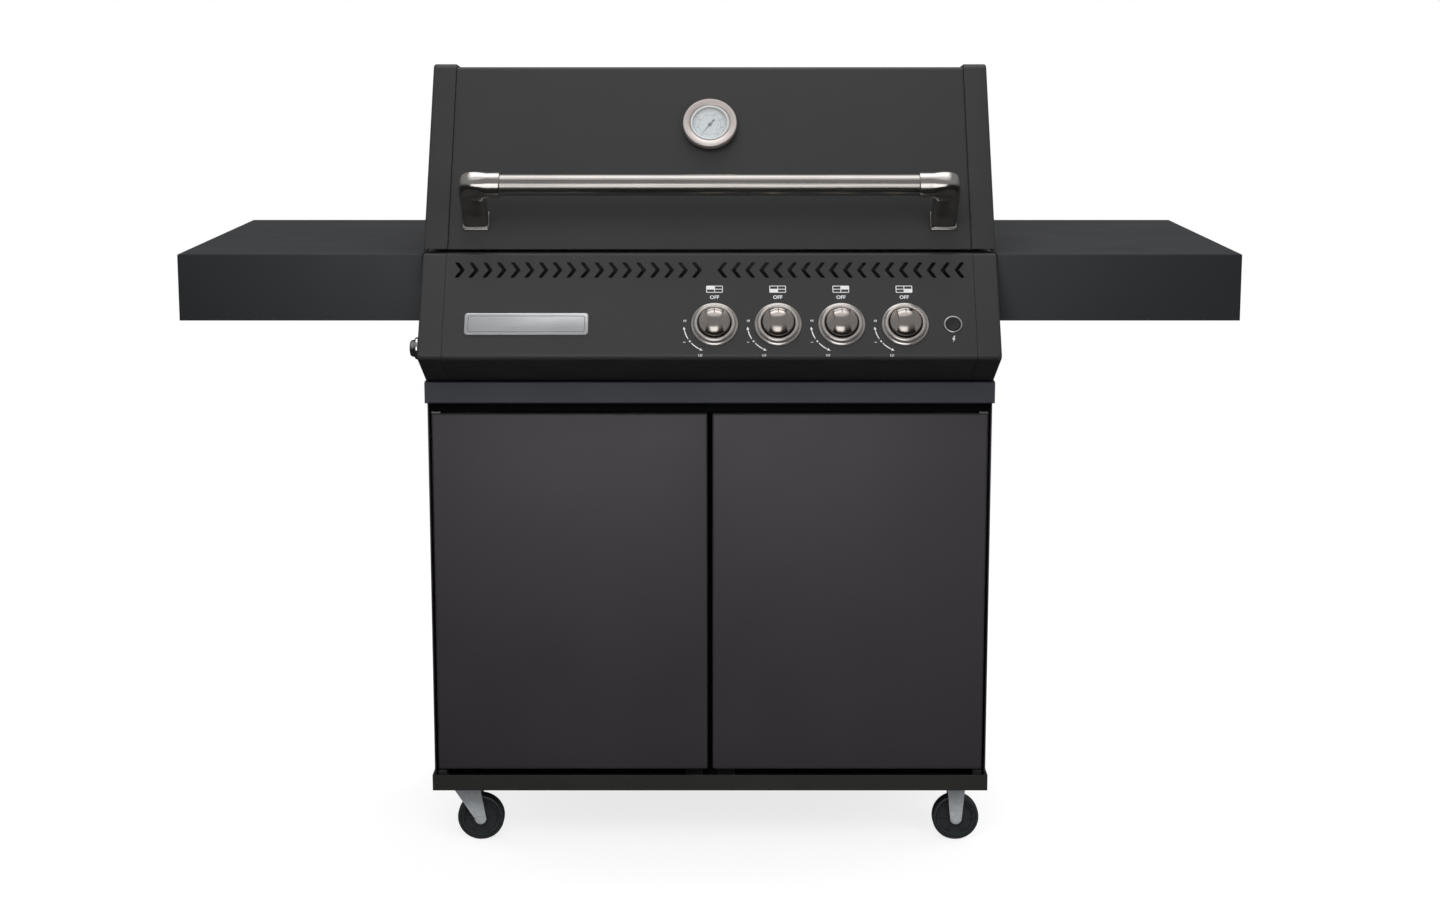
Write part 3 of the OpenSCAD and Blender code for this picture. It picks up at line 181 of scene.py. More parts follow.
class Finish(NodeBench):
    """One procedural material, built up in small steps."""

    def __init__(self, name, colour, roughness, metallic=0.0, **constants):
        self.material = bpy.data.materials.new(name)
        self.material.use_nodes = True
        super().__init__(self.material.node_tree)
        self.shader = self.tree.nodes["Principled BSDF"]
        values = {"Base Color": (*colour, 1), "Roughness": roughness, "Metallic": metallic}
        values.update({socket.replace("_", " "): value for socket, value in constants.items()})
        for socket, value in values.items():
            self.shader.inputs[socket].default_value = value
        self.height = None

    def place(self, scale=(1, 1, 1), turn=(0, 0, 0), shift=(0, 0, 0)):
        """Object coordinates, turned, moved and stretched."""
        coordinates = self.node("ShaderNodeTexCoord")
        mapping = self.node("ShaderNodeMapping", {"Location": shift, "Rotation": turn, "Scale": scale})
        self.link((coordinates.outputs["Object"], mapping.inputs["Vector"]))
        return mapping.outputs["Vector"]

    def axes(self, where):
        """The X, Y and Z outputs of a vector."""
        parts = self.node("ShaderNodeSeparateXYZ")
        self.link((where, parts.inputs[0]))
        return parts.outputs

    def length(self, vector):
        """Length of a vector, such as the distance from the origin."""
        node = self.node("ShaderNodeVectorMath", operation="LENGTH")
        self.link((vector, node.inputs[0]))
        return node.outputs["Value"]

    def noise(self, scale, detail=2.0, stretch=(1, 1, 1)):
        texture = self.node("ShaderNodeTexNoise", {"Scale": scale, "Detail": detail, "Distortion": 0.0})
        self.link((self.place(stretch), texture.inputs["Vector"]))
        return texture.outputs["Fac"]

    def remap(self, value, low, high, start=0.3, end=0.7):
        """value from start..end to low..high."""
        node = self.node(
            "ShaderNodeMapRange", {"From Min": start, "From Max": end, "To Min": low, "To Max": high})
        self.link((value, node.inputs["Value"]))
        return node.outputs["Result"]

    def tint(self, value, other, amount=1.0):
        """Mixes the colour so far with another one, by value."""
        mix = self.node("ShaderNodeMix", data_type="RGBA")
        base = self.shader.inputs["Base Color"]
        if base.links:
            self.link((base.links[0].from_socket, mix.inputs[6]))
        else:
            mix.inputs[6].default_value = base.default_value
        mix.inputs[7].default_value = (*other, 1)
        self.link((self.remap(value, 0.0, amount), mix.inputs[0]), (mix.outputs[2], base))

    def polish(self, value, low, high):
        """Varies the roughness between low and high."""
        self.link((self.remap(value, low, high), self.shader.inputs["Roughness"]))

    def relief(self, value, depth, strength=1.0):
        """Adds a height of depth metres on top of what is there."""
        bump = self.node("ShaderNodeBump", {"Distance": depth, "Strength": strength})
        self.link((value, bump.inputs["Height"]))
        if self.height:
            self.link((self.height, bump.inputs["Normal"]))
        self.height = bump.outputs["Normal"]
        self.link((self.height, self.shader.inputs["Normal"]))

    def glow(self, strength):
        """White light of the given strength, a number or an output."""
        light = self.node("ShaderNodeEmission")
        light.inputs["Color"].default_value = (1, 1, 1, 1)
        if isinstance(strength, float):
            light.inputs["Strength"].default_value = strength
        else:
            self.link((strength, light.inputs["Strength"]))
        return light.outputs[0]

    def surface(self, shader):
        """Puts another shader in the place of the paint."""
        self.link((shader, self.tree.nodes["Material Output"].inputs["Surface"]))


def shade(colour, factor):
    return tuple(channel * factor for channel in colour)


def powder_coat(name, colour, roughness=0.42, painted_shade_below=None):
    """Baked powder paint: fine orange peel, faint cloudiness and a little dust in the coat.

    Below a given height the colour turns near-black and the gloss drops, as painted shade for a recess that
    lies in shadow.
    """
    gloss, painted_shade, painted_shade_gloss, fade = 0.34, (0.003, 0.003, 0.003), 0.03, 0.0005
    paint = Finish(name, colour, roughness, Specular_IOR_Level=gloss)
    paint.tint(paint.noise(2.6, 3), shade(colour, 1.16), 0.8)
    paint.tint(paint.noise(950, 1), shade(colour, 0.78), 0.45)
    paint.polish(paint.noise(9, 4), roughness - 0.05, roughness + 0.07)
    paint.relief(paint.noise(1, 2, (620, 620, 620)), 0.00006, 0.5)
    paint.relief(paint.noise(14, 1), 0.00025, 0.25)
    # Painted shade: near-black colour and low gloss below the given height, standing in for the recess's
    # shadow
    if painted_shade_below:
        height = paint.axes(paint.place())["Z"]
        edge = (painted_shade_below - fade, painted_shade_below)
        paint.tint(paint.remap(height, 1, 0, *edge), painted_shade)
        paint.link((paint.remap(height, painted_shade_gloss, gloss, *edge),
                    paint.shader.inputs["Specular IOR Level"]))
    return paint.material


def brushed(name, colour, stretch, roughness=0.26):
    """Metal brushed one way; stretch is small along the brushing."""
    metal = Finish(name, colour, roughness, 1.0)
    line = metal.noise(1, 4, stretch)
    metal.tint(line, shade(colour, 0.72), 0.7)
    metal.tint(metal.noise(18, 2), shade(colour, 1.12), 0.35)
    metal.polish(line, roughness - 0.07, roughness + 0.12)
    metal.relief(line, 0.00002, 0.6)
    return metal.material


def turned(name, colour, matrix, roughness, metallic, pitch=1400):
    """Metal turned on a lathe about the Z axis of matrix."""
    metal = Finish(name, colour, roughness, metallic)
    back = matrix.inverted()
    parts = metal.axes(metal.place(turn=back.to_euler(), shift=back.translation))
    flat = metal.node("ShaderNodeCombineXYZ")
    metal.link((parts["X"], flat.inputs["X"]), (parts["Y"], flat.inputs["Y"]))
    rings = metal.node("ShaderNodeTexNoise", noise_dimensions="1D")
    rings.inputs["Scale"].default_value = pitch
    rings.inputs["Detail"].default_value = 3
    metal.link((metal.length(flat.outputs[0]), rings.inputs["W"]))
    line = rings.outputs["Fac"]
    metal.tint(line, shade(colour, 0.74), 0.7)
    metal.polish(line, roughness - 0.06, roughness + 0.1)
    metal.relief(line, 0.00002, 0.5)
    return metal.material


def polished(name, colour, roughness=0.1):
    """Chromed or polished metal with faint handling marks."""
    metal = Finish(name, colour, roughness, 1.0)
    metal.polish(metal.noise(35, 5), roughness * 0.6, roughness * 1.9)
    metal.tint(metal.noise(60, 3), shade(colour, 0.85), 0.35)
    metal.relief(metal.noise(1500, 1), 0.000006, 0.4)
    return metal.material


def moulded(name, colour, roughness=0.5):
    """Moulded plastic with a fine grain."""
    plastic = Finish(name, colour, roughness, Specular_IOR_Level=0.4)
    plastic.tint(plastic.noise(40, 3), shade(colour, 1.25), 0.5)
    plastic.polish(plastic.noise(120, 3), roughness - 0.08, roughness + 0.1)
    plastic.relief(plastic.noise(1800, 1), 0.00003, 0.5)
    return plastic.material


def galvanised(name, colour, roughness, metallic):
    """Zinc-plated or rolled sheet with a soft spangle."""
    metal = Finish(name, colour, roughness, metallic)
    spangle = metal.node("ShaderNodeTexVoronoi", {"Scale": 160})
    metal.link((metal.place(), spangle.inputs["Vector"]))
    metal.tint(spangle.outputs["Distance"], shade(colour, 0.8), 0.5)
    metal.tint(metal.noise(12, 4), shade(colour, 1.1), 0.5)
    metal.polish(metal.noise(60, 4), roughness - 0.1, roughness + 0.12)
    return metal.material


def cast_iron(name, colour):
    """Seasoned cast iron with sand-cast pits."""
    iron = Finish(name, colour, 0.55, 0.0, Specular_IOR_Level=0.5)
    pits = iron.noise(520, 4)
    iron.tint(iron.noise(30, 4), srgb(46, 40, 36), 0.8)
    iron.polish(pits, 0.38, 0.7)
    iron.relief(pits, 0.00025, 0.7)
    return iron.material


def enamel(name, colour):
    """Glossy enamel with tiny flecks."""
    glaze = Finish(name, colour, 0.25, Specular_IOR_Level=0.5)
    glaze.tint(glaze.noise(1400, 1), srgb(70, 70, 72), 0.25)
    glaze.polish(glaze.noise(22, 4), 0.18, 0.36)
    glaze.relief(glaze.noise(120, 2), 0.0001, 0.3)
    return glaze.material


def fired_clay(name, colour):
    """Porous ceramic."""
    clay = Finish(name, colour, 0.85)
    clay.tint(clay.noise(70, 4), shade(colour, 0.75), 0.6)
    clay.tint(clay.noise(8, 3), srgb(196, 178, 150), 0.5)
    clay.polish(clay.noise(300, 2), 0.75, 0.95)
    clay.relief(clay.noise(900, 3), 0.0002, 0.6)
    return clay.material


def clear_glass(name):
    """Thin clear glass over the dial."""
    glass = Finish(name, (0.9, 0.95, 0.97), 0.03, Alpha=0.14, Specular_IOR_Level=0.6)
    glass.polish(glass.noise(80, 3), 0.02, 0.07)
    return glass.material


def printed(name, colour, roughness=0.45):
    """Screen-printed ink with slightly uneven cover."""
    ink = Finish(name, colour, roughness)
    ink.tint(ink.noise(900, 3), shade(colour, 0.72), 0.6)
    ink.polish(ink.noise(400, 2), roughness - 0.08, roughness + 0.1)
    return ink.material


# ---- Mesh helpers ----


def rounded(points, radii, steps=10):
    """Corner points turned into arcs; the ends of the path stay."""
    out = []
    for i, corner in enumerate(points):
        if i in (0, len(points) - 1) or radii[i] <= 0:
            out.append(corner.copy())
            continue
        u = (points[i - 1] - corner).normalized()
        w = (points[i + 1] - corner).normalized()
        half = u.angle(w) / 2
        radius = radii[i]
        centre = corner + (u + w).normalized() * (radius / math.sin(half))
        first = corner + u * (radius / math.tan(half)) - centre
        last = corner + w * (radius / math.tan(half)) - centre
        start = math.atan2(first.y, first.x)
        sweep = math.remainder(math.atan2(last.y, last.x) - start, math.tau)
        for k in range(steps + 1):
            angle = start + sweep * k / steps
            out.append(centre + radius * Vector((math.cos(angle), math.sin(angle))))
    return out


def left_of(p, q):
    """Unit normal on the left of the step from p to q."""
    step = (q - p).normalized()
    return Vector((-step.y, step.x))


def shifted(points, radii, distance):
    """The path and its bends, moved distance to the left."""
    smallest_bend = 0.0002
    out, bends = [], []
    for i, corner in enumerate(points):
        if i in (0, len(points) - 1):
            step = (corner, points[1]) if i == 0 else (points[i - 1], corner)
            out.append(corner + left_of(*step) * distance)
            bends.append(0)
        else:
            a, b = left_of(points[i - 1], corner), left_of(corner, points[i + 1])
            turn = math.copysign(1, a.x * b.y - a.y * b.x)
            out.append(corner + (a + b) * (distance / (1 + a.dot(b))))
            bends.append(max(smallest_bend, radii[i] - distance * turn) if radii[i] else 0)
    return out, bends


def direction(degrees):
    """Flat unit vector, turned from X towards Y."""
    angle = math.radians(degrees)
    return Vector((math.cos(angle), math.sin(angle)))


def quarter_turn(steps):
    """Sine and one minus cosine of the angles of a quarter turn."""
    angles = [math.pi / 2 * k / steps for k in range(steps + 1)]
    return [(math.sin(angle), 1 - math.cos(angle)) for angle in angles]


def new_object(name, mesh):
    piece = bpy.data.objects.new(name, mesh)
    bpy.context.scene.collection.objects.link(piece)
    return piece


def settle(piece):
    """Turns the piece with its modifiers into a plain mesh."""
    bpy.context.view_layer.update()
    graph = bpy.context.evaluated_depsgraph_get()
    mesh = bpy.data.meshes.new_from_object(piece.evaluated_get(graph))
    old = piece.data
    piece.modifiers.clear()
    piece.data = mesh
    bpy.data.meshes.remove(old)
    return piece


def finish_piece(piece, finish, body, nodes=(), smooth=32):
    """Gives a piece its finish, its body and the CAD nodes that it stands for."""
    piece.data.materials.clear()
    piece.data.materials.append(finish_named(finish) if isinstance(finish, str) else finish)
    if smooth:
        piece.data.polygons.foreach_set("use_smooth", [True] * len(piece.data.polygons))
        piece.data.set_sharp_from_angle(angle=math.radians(smooth))
    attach(piece, body)
    if nodes:
        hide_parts(*nodes)


def from_bmesh(name, bm, weld=True):
    if weld:
        bmesh.ops.remove_doubles(bm, verts=bm.verts, dist=1e-6)
    bmesh.ops.recalc_face_normals(bm, faces=bm.faces)
    mesh = bpy.data.meshes.new(name)
    bm.to_mesh(mesh)
    bm.free()
    return new_object(name, mesh)


def thicken(piece, thickness):
    """Gives an open shell a wall inwards."""
    wall = piece.modifiers.new("wall", "SOLIDIFY")
    wall.thickness = thickness
    wall.offset = -1.0
    wall.use_even_offset = True
    return settle(piece)


def cut_away(piece, *cutters):
    """Takes the shape of each cutter out of the piece."""
    for cutter in cutters:
        cut = piece.modifiers.new("cut", "BOOLEAN")
        cut.object = cutter
        cut.solver = "EXACT"
        settle(piece)
        bpy.data.objects.remove(cutter)


def add_loops(bm, loops, closed=True, cap_start=False, cap_end=False):
    """Skins a list of point loops, in order."""
    rings = [[bm.verts.new(point) for point in loop] for loop in loops]
    count = len(rings[0])
    last = count if closed else count - 1
    for a, b in zip(rings, rings[1:]):
        for i in range(last):
            j = (i + 1) % count
            bm.faces.new((a[i], a[j], b[j], b[i]))
    if cap_start:
        bm.faces.new(rings[0])
    if cap_end:
        bm.faces.new(rings[-1][::-1])
    return rings


def add_solid(bm, loops):
    """Skins point loops and closes both ends."""
    add_loops(bm, loops, cap_start=True, cap_end=True)


def add_prism(bm, outline, low, high, matrix=Matrix()):
    """Extrudes a flat outline of (x, y) points from low to high along Z of matrix."""
    add_solid(bm, [[matrix @ Vector((x, y, z)) for x, y in outline] for z in (low, high)])


def lathe_loops(profile, matrix, steps):
    """Rings of points about Z of matrix, for a profile of (radius, height) in millimetres."""
    turns = [(math.cos(math.tau * k / steps), math.sin(math.tau * k / steps)) for k in range(steps)]
    return [[matrix @ Vector((radius * MM * c, radius * MM * s, height * MM)) for c, s in turns]
            for radius, height in profile]


def add_lathe(bm, profile, matrix=Matrix(), steps=64):
    """Turns a profile in millimetres; an end off the axis is closed by a flat face."""
    on_axis = 0.01
    add_solid(bm, lathe_loops([(max(radius, on_axis), height) for radius, height in profile], matrix, steps))


def add_ring(bm, profile, matrix, steps=96):
    """Turns a closed profile in millimetres, clear of the axis."""
    loops = lathe_loops(profile, matrix, steps)
    add_loops(bm, loops + [loops[0]])


def lathe_piece(name, profile, matrix=Matrix(), steps=64, add=add_lathe):
    """A piece of its own, turned by add_lathe or add_ring."""
    bm = bmesh.new()
    add(bm, profile, matrix, steps)
    return from_bmesh(name, bm)


def add_box(bm, low, high, bevel=0.0, segments=3):
    """Box with rounded edges."""
    low, high = Vector(low), Vector(high)
    made = bmesh.ops.create_cube(bm, size=1)["verts"]
    size, middle = high - low, (low + high) / 2
    for vertex in made:
        vertex.co = Vector(vertex.co[k] * size[k] + middle[k] for k in range(3))
    if bevel:
        edges = list({edge for vertex in made for edge in vertex.link_edges})
        bmesh.ops.bevel(bm, geom=edges, offset=bevel, segments=segments, profile=0.5, affect="EDGES")


def rectangle(width, height, radius, steps=5, centre=(0, 0)):
    """Outline of a rectangle with round corners."""
    out = []
    for sx, sy, start in ((1, 1, 0), (-1, 1, 90), (-1, -1, 180), (1, -1, 270)):
        cx = centre[0] + sx * (width / 2 - radius)
        cy = centre[1] + sy * (height / 2 - radius)
        for k in range(steps + 1):
            angle = math.radians(start + 90 * k / steps)
            out.append((cx + radius * math.cos(angle), cy + radius * math.sin(angle)))
    return out


def add_plate(bm, outline, low, high, edge, matrix=Matrix(), steps=3):
    """Prism whose upper edge is rounded, for an outline about the origin."""
    loops = [[matrix @ Vector((x, y, low)) for x, y in outline]]
    for sine, rest in quarter_turn(steps):
        ring = []
        for x, y in outline:
            share = edge * rest / math.hypot(x, y)
            ring.append(matrix @ Vector((x - x * share, y - y * share, high - edge * (1 - sine))))
        loops.append(ring)
    add_solid(bm, loops)


def pan(name, low, high, open_axis, edge, wall):
    """Folded sheet pan between two corners, open on one side, such as (2, -1) for underneath."""
    bm = bmesh.new()
    add_box(bm, low, high)
    axis, sign = open_axis
    lid = [f for f in bm.faces if f.normal[axis] * sign > 0.9]
    bmesh.ops.delete(bm, geom=lid, context="FACES_ONLY")
    folds = [e for e in bm.edges if len(e.link_faces) == 2]
    bmesh.ops.bevel(bm, geom=folds, offset=edge, segments=5, profile=0.5, affect="EDGES")
    return thicken(from_bmesh(name, bm), wall)


def sheet_along_x(name, points, radii, x_low, x_high, wall, steps):
    """Bent sheet with its outer face on the path in Y and Z, and its wall on the left of it."""
    outer = rounded(points, radii, steps)
    inner = rounded(*shifted(points, radii, wall), steps)
    ring = outer + inner[::-1]
    bm = bmesh.new()
    add_solid(bm, [[Vector((x, p.x, p.y)) for p in ring] for x in (x_low, x_high)])
    return from_bmesh(name, bm)


def add_bent_rows(bm, points, radii, side, stations, steps, cap_end=False):
    """Skins the path, repeated at each station of (x, distance to the left of the path)."""
    loops = []
    for x, distance in stations:
        moved, bends = shifted(points, radii, distance)
        loops.append([Vector((side * x, p.x, p.y)) for p in rounded(moved, bends, steps)])
    return add_loops(bm, loops, closed=False, cap_end=cap_end)


def letters(bm, text, height, matrix, centre, weight=0.0):
    """Flat plain letters or figures about a point of matrix, as thin raised ink."""
    curve = bpy.data.curves.new("letters", "FONT")
    curve.body = text
    curve.size = height
    curve.align_x = "CENTER"
    curve.align_y = "CENTER"
    curve.extrude = 0.00004
    curve.offset = weight
    carrier = bpy.data.objects.new("letters", curve)
    mesh = bpy.data.meshes.new_from_object(carrier)
    mesh.transform(matrix @ Matrix.Translation((*centre, 0.00008)))
    bm.from_mesh(mesh)
    bpy.data.objects.remove(carrier)
    bpy.data.curves.remove(curve)
    bpy.data.meshes.remove(mesh)


# ---- Repeating detail, by Geometry Nodes ----


class Repeat(NodeBench):
    """A node tree whose named inputs place copies of the object's own mesh."""

    def __init__(self, name, inputs):
        super().__init__(bpy.data.node_groups.new(name, "GeometryNodeTree"))
        face = self.tree.interface
        face.new_socket("Geometry", in_out="INPUT", socket_type="NodeSocketGeometry")
        face.new_socket("Geometry", in_out="OUTPUT", socket_type="NodeSocketGeometry")
        self.ids = {}
        for label, kind in {**inputs, "Material": "Material"}.items():
            socket = face.new_socket(label, in_out="INPUT", socket_type=f"NodeSocket{kind}")
            self.ids[label] = socket.identifier
        self.given = self.node("NodeGroupInput").outputs

    def close(self, points, copy, rotation=None):
        """Puts the copy on each point, and ends the tree in Realize Instances and Set Material."""
        copies = self.node("GeometryNodeInstanceOnPoints")
        real = self.node("GeometryNodeRealizeInstances")
        coat = self.node("GeometryNodeSetMaterial")
        sink = self.node("NodeGroupOutput")
        self.link((points, copies.inputs["Points"]), (copy, copies.inputs["Instance"]),
                  (copies.outputs["Instances"], real.inputs["Geometry"]),
                  (real.outputs["Geometry"], coat.inputs["Geometry"]),
                  (self.given["Material"], coat.inputs["Material"]),
                  (coat.outputs["Geometry"], sink.inputs["Geometry"]))
        if rotation:
            self.link((rotation, copies.inputs["Rotation"]))
        return self

    def run(self, piece, finish, **values):
        """Runs the tree on a piece and leaves a plain mesh."""
        modifier = piece.modifiers.new(self.tree.name, "NODES")
        modifier.node_group = self.tree
        for label, value in values.items():
            modifier[self.ids[label.replace("_", " ")]] = value
        modifier[self.ids["Material"]] = finish_named(finish)
        return settle(piece)


def row_tree():
    """Copies in a straight row."""
    tree = Repeat("row_of_copies", {"Count": "Int", "Step": "Vector"})
    line = tree.node("GeometryNodeMeshLine")
    tree.link((tree.given["Count"], line.inputs["Count"]), (tree.given["Step"], line.inputs["Offset"]))
    return tree.close(line.outputs["Mesh"], tree.given["Geometry"])


def grid_tree():
    """Copies on a flat grid about the origin."""
    tree = Repeat("grid_of_copies", {"Columns": "Int", "Rows": "Int", "Width": "Float", "Depth": "Float"})
    grid = tree.node("GeometryNodeMeshGrid")
    for label, socket in (
        ("Columns", "Vertices X"), ("Rows", "Vertices Y"), ("Width", "Size X"), ("Depth", "Size Y"),
    ):
        tree.link((tree.given[label], grid.inputs[socket]))
    return tree.close(grid.outputs["Mesh"], tree.given["Geometry"])


def ring_tree():
    """Copies turned about the Z axis, each by the same further angle."""
    tree = Repeat("ring_of_copies", {"Count": "Int", "Step Angle": "Float"})
    line = tree.node("GeometryNodeMeshLine", {"Offset": (0, 0, 0)})
    spin = tree.node("ShaderNodeCombineXYZ")
    index = tree.node("GeometryNodeInputIndex").outputs[0]
    turn = tree.arithmetic("MULTIPLY", index, tree.given["Step Angle"])
    tree.link((tree.given["Count"], line.inputs["Count"]), (turn, spin.inputs["Z"]))
    return tree.close(line.outputs["Mesh"], tree.given["Geometry"], spin.outputs[0])


def screw_tree():
    """Screw heads on loose points, each turned to face along the point's own direction."""
    tree = Repeat("screw_heads", {"Radius": "Float", "Height": "Float"})
    radius, height = tree.given["Radius"], tree.given["Height"]
    head = tree.node("GeometryNodeMeshUVSphere", {"Segments": 16, "Rings": 8})
    size = tree.node("ShaderNodeCombineXYZ")
    shape = tree.node("GeometryNodeTransform")
    tree.link((radius, size.inputs["X"]), (radius, size.inputs["Y"]), (height, size.inputs["Z"]),
              (head.outputs["Mesh"], shape.inputs["Geometry"]), (size.outputs[0], shape.inputs["Scale"]))
    way = tree.node("GeometryNodeInputNamedAttribute", {"Name": "way"}, data_type="FLOAT_VECTOR")
    aim = tree.node("FunctionNodeAlignRotationToVector", axis="Z")
    tree.link((way.outputs["Attribute"], aim.inputs["Vector"]))
    return tree.close(tree.given["Geometry"], shape.outputs["Geometry"], aim.outputs["Rotation"])


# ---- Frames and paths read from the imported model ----


def corners(node):
    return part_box(node)


def face_frame(out, place):
    """X across, Y up a sloping face and Z out of it."""
    across = Vector((1, 0, 0))
    matrix = Matrix((across, out.cross(across).normalized(), out)).transposed().to_4x4()
    matrix.translation = place
    return matrix


def panel_frame(x):
    """On the panel's face at the knobs' height."""
    joint = JOINT["knob_1_turn"]
    return face_frame(Vector(joint["axis"]).normalized(), Vector((x, *joint["pos_m"][1:])))


def panel_frame_at(node):
    """On the panel's face, under the middle of a node."""
    low, high = corners(node)
    return panel_frame((low.x + high.x) / 2)


def knob_frame(k):
    return panel_frame(JOINT[f"knob_{k}_turn"]["pos_m"][0])


def hood_frame():
    """On the hood's face at the thermometer, behind the needle's joint."""
    joint, needle_height = JOINT["gauge_needle_turn"], 9.2 * MM
    out = -Vector(joint["axis"]).normalized()
    return face_frame(out, Vector(joint["pos_m"]) - out * needle_height)


def up_the_face(matrix, height):
    """The way up the face of a frame, and its point at a height over the floor."""
    up = matrix.col[1].to_3d()
    return up, matrix.translation + up * ((height - matrix.translation.z) / up.z)


def panel_path():
    """Corners of the control panel in Y and Z, from the top rear to the bottom rear."""
    low, high = corners("control_panel")
    up, top = up_the_face(panel_frame(0), high.z)
    nose = top - up * sizes().panel_face
    rear = corners("firebox_sides")[0].y
    path = [(rear, high.z), (top.y, high.z), (nose.y, nose.z), (top.y, low.z), (rear, low.z)]
    return [Vector(p) for p in path], [0, 0.004, 0.007, 0.004, 0]


def hood_path():
    """Corners of the hood in Y and Z, from the front edge to the bottom of the back."""
    low, high = corners("lid_skin")
    up, front = up_the_face(hood_frame(), low.z)
    top = front + up * sizes().hood_face
    roof_fall, over_hinge = math.tan(math.radians(6)), 0.007
    back_z = top.z - (high.y - top.y) * roof_fall
    path = [(front.y, front.z), (top.y, top.z), (high.y, back_z), (high.y, hinge_height() + over_hinge)]
    return [Vector(p) for p in path], [0, 0.008, 0.06, 0]


def hinge_height():
    return JOINT["hood_hinge"]["pos_m"][2]


# ---- Finishes shared by several pieces ----

FINISHES = {}


def finish_recipes():
    """For each finish, its maker and what it is given."""
    c = colours()
    band_height = 0.0295
    recess_top = corners("top_rails")[1].z - band_height
    return {
        "hood_paint": (powder_coat, c.hood),
        "cap_paint": (powder_coat, shade(c.hood, 0.98), 0.4),
        # Painted light: the hood's paint made lighter on the panel and its end caps, standing in for light
        # that falls short there
        "panel_paint": (powder_coat, shade(c.hood, 1.16), 0.42),
        "cabinet_paint": (powder_coat, c.cabinet, 0.4),
        "shelf_paint": (powder_coat, c.shelf, 0.46),
        # Painted shade: the frame paint turns near-black below the recess's top, where the rail behind the
        # doors' top lies in shadow
        "frame_paint": (powder_coat, srgb(58, 60, 66), 0.46, recess_top),
        "base_paint": (powder_coat, srgb(52, 52, 49), 0.36),
        "inside_paint": (powder_coat, srgb(30, 30, 31), 0.55),
        "tube_steel": (brushed, c.steel, (6, 1500, 1500), 0.24),
        "badge_steel": (brushed, srgb(232, 233, 235), (30, 2200, 2200), 0.4),
        "stainless": (brushed, srgb(176, 176, 177), (10, 900, 900), 0.42),
        "chrome": (polished, c.chrome, 0.15),
        "handle_chrome": (polished, srgb(196, 192, 188), 0.14),
        "bright_chrome": (polished, srgb(214, 214, 216), 0.07),
        "rack_chrome": (polished, srgb(196, 196, 198), 0.16),
        "igniter_steel": (polished, srgb(222, 222, 224), 0.3),
        "screw": (polished, srgb(120, 120, 122), 0.3),
        "dark_screw": (polished, srgb(64, 64, 66), 0.34),
        "brass": (polished, srgb(202, 168, 96), 0.28),
        "copper": (polished, srgb(188, 130, 92), 0.24),
        "zinc": (galvanised, srgb(225, 230, 233), 0.45, 0.25),
        "sheet_steel": (galvanised, srgb(186, 187, 189), 0.42, 0.45),
        "wheel_plastic": (moulded, srgb(56, 60, 61), 0.42),
        "black_plastic": (moulded, srgb(30, 30, 31), 0.38),
        "iron": (cast_iron, srgb(36, 35, 35)),
        "enamel": (enamel, srgb(34, 34, 35)),
        "clay": (fired_clay, srgb(219, 205, 180)),
        # Painted shade: a dark clay colour for discs that stand in for the shade inside the burner holes
        "soot": (fired_clay, srgb(70, 60, 50)),
        "glass": (clear_glass,),
        "ink": (printed, c.ink),
        "dark_ink": (printed, srgb(60, 64, 66)),
        "needle": (printed, srgb(40, 42, 44), 0.35),
        "dial": (printed, srgb(210, 216, 217), 0.5),
    }


def finish_named(name):
    """Makes each finish once, when it is first asked for."""
    if name not in FINISHES:
        maker, *given = finish_recipes()[name]
        FINISHES[name] = maker(name, *given)
    return FINISHES[name]


# ---- Operators, one for each piece or group of like pieces ----


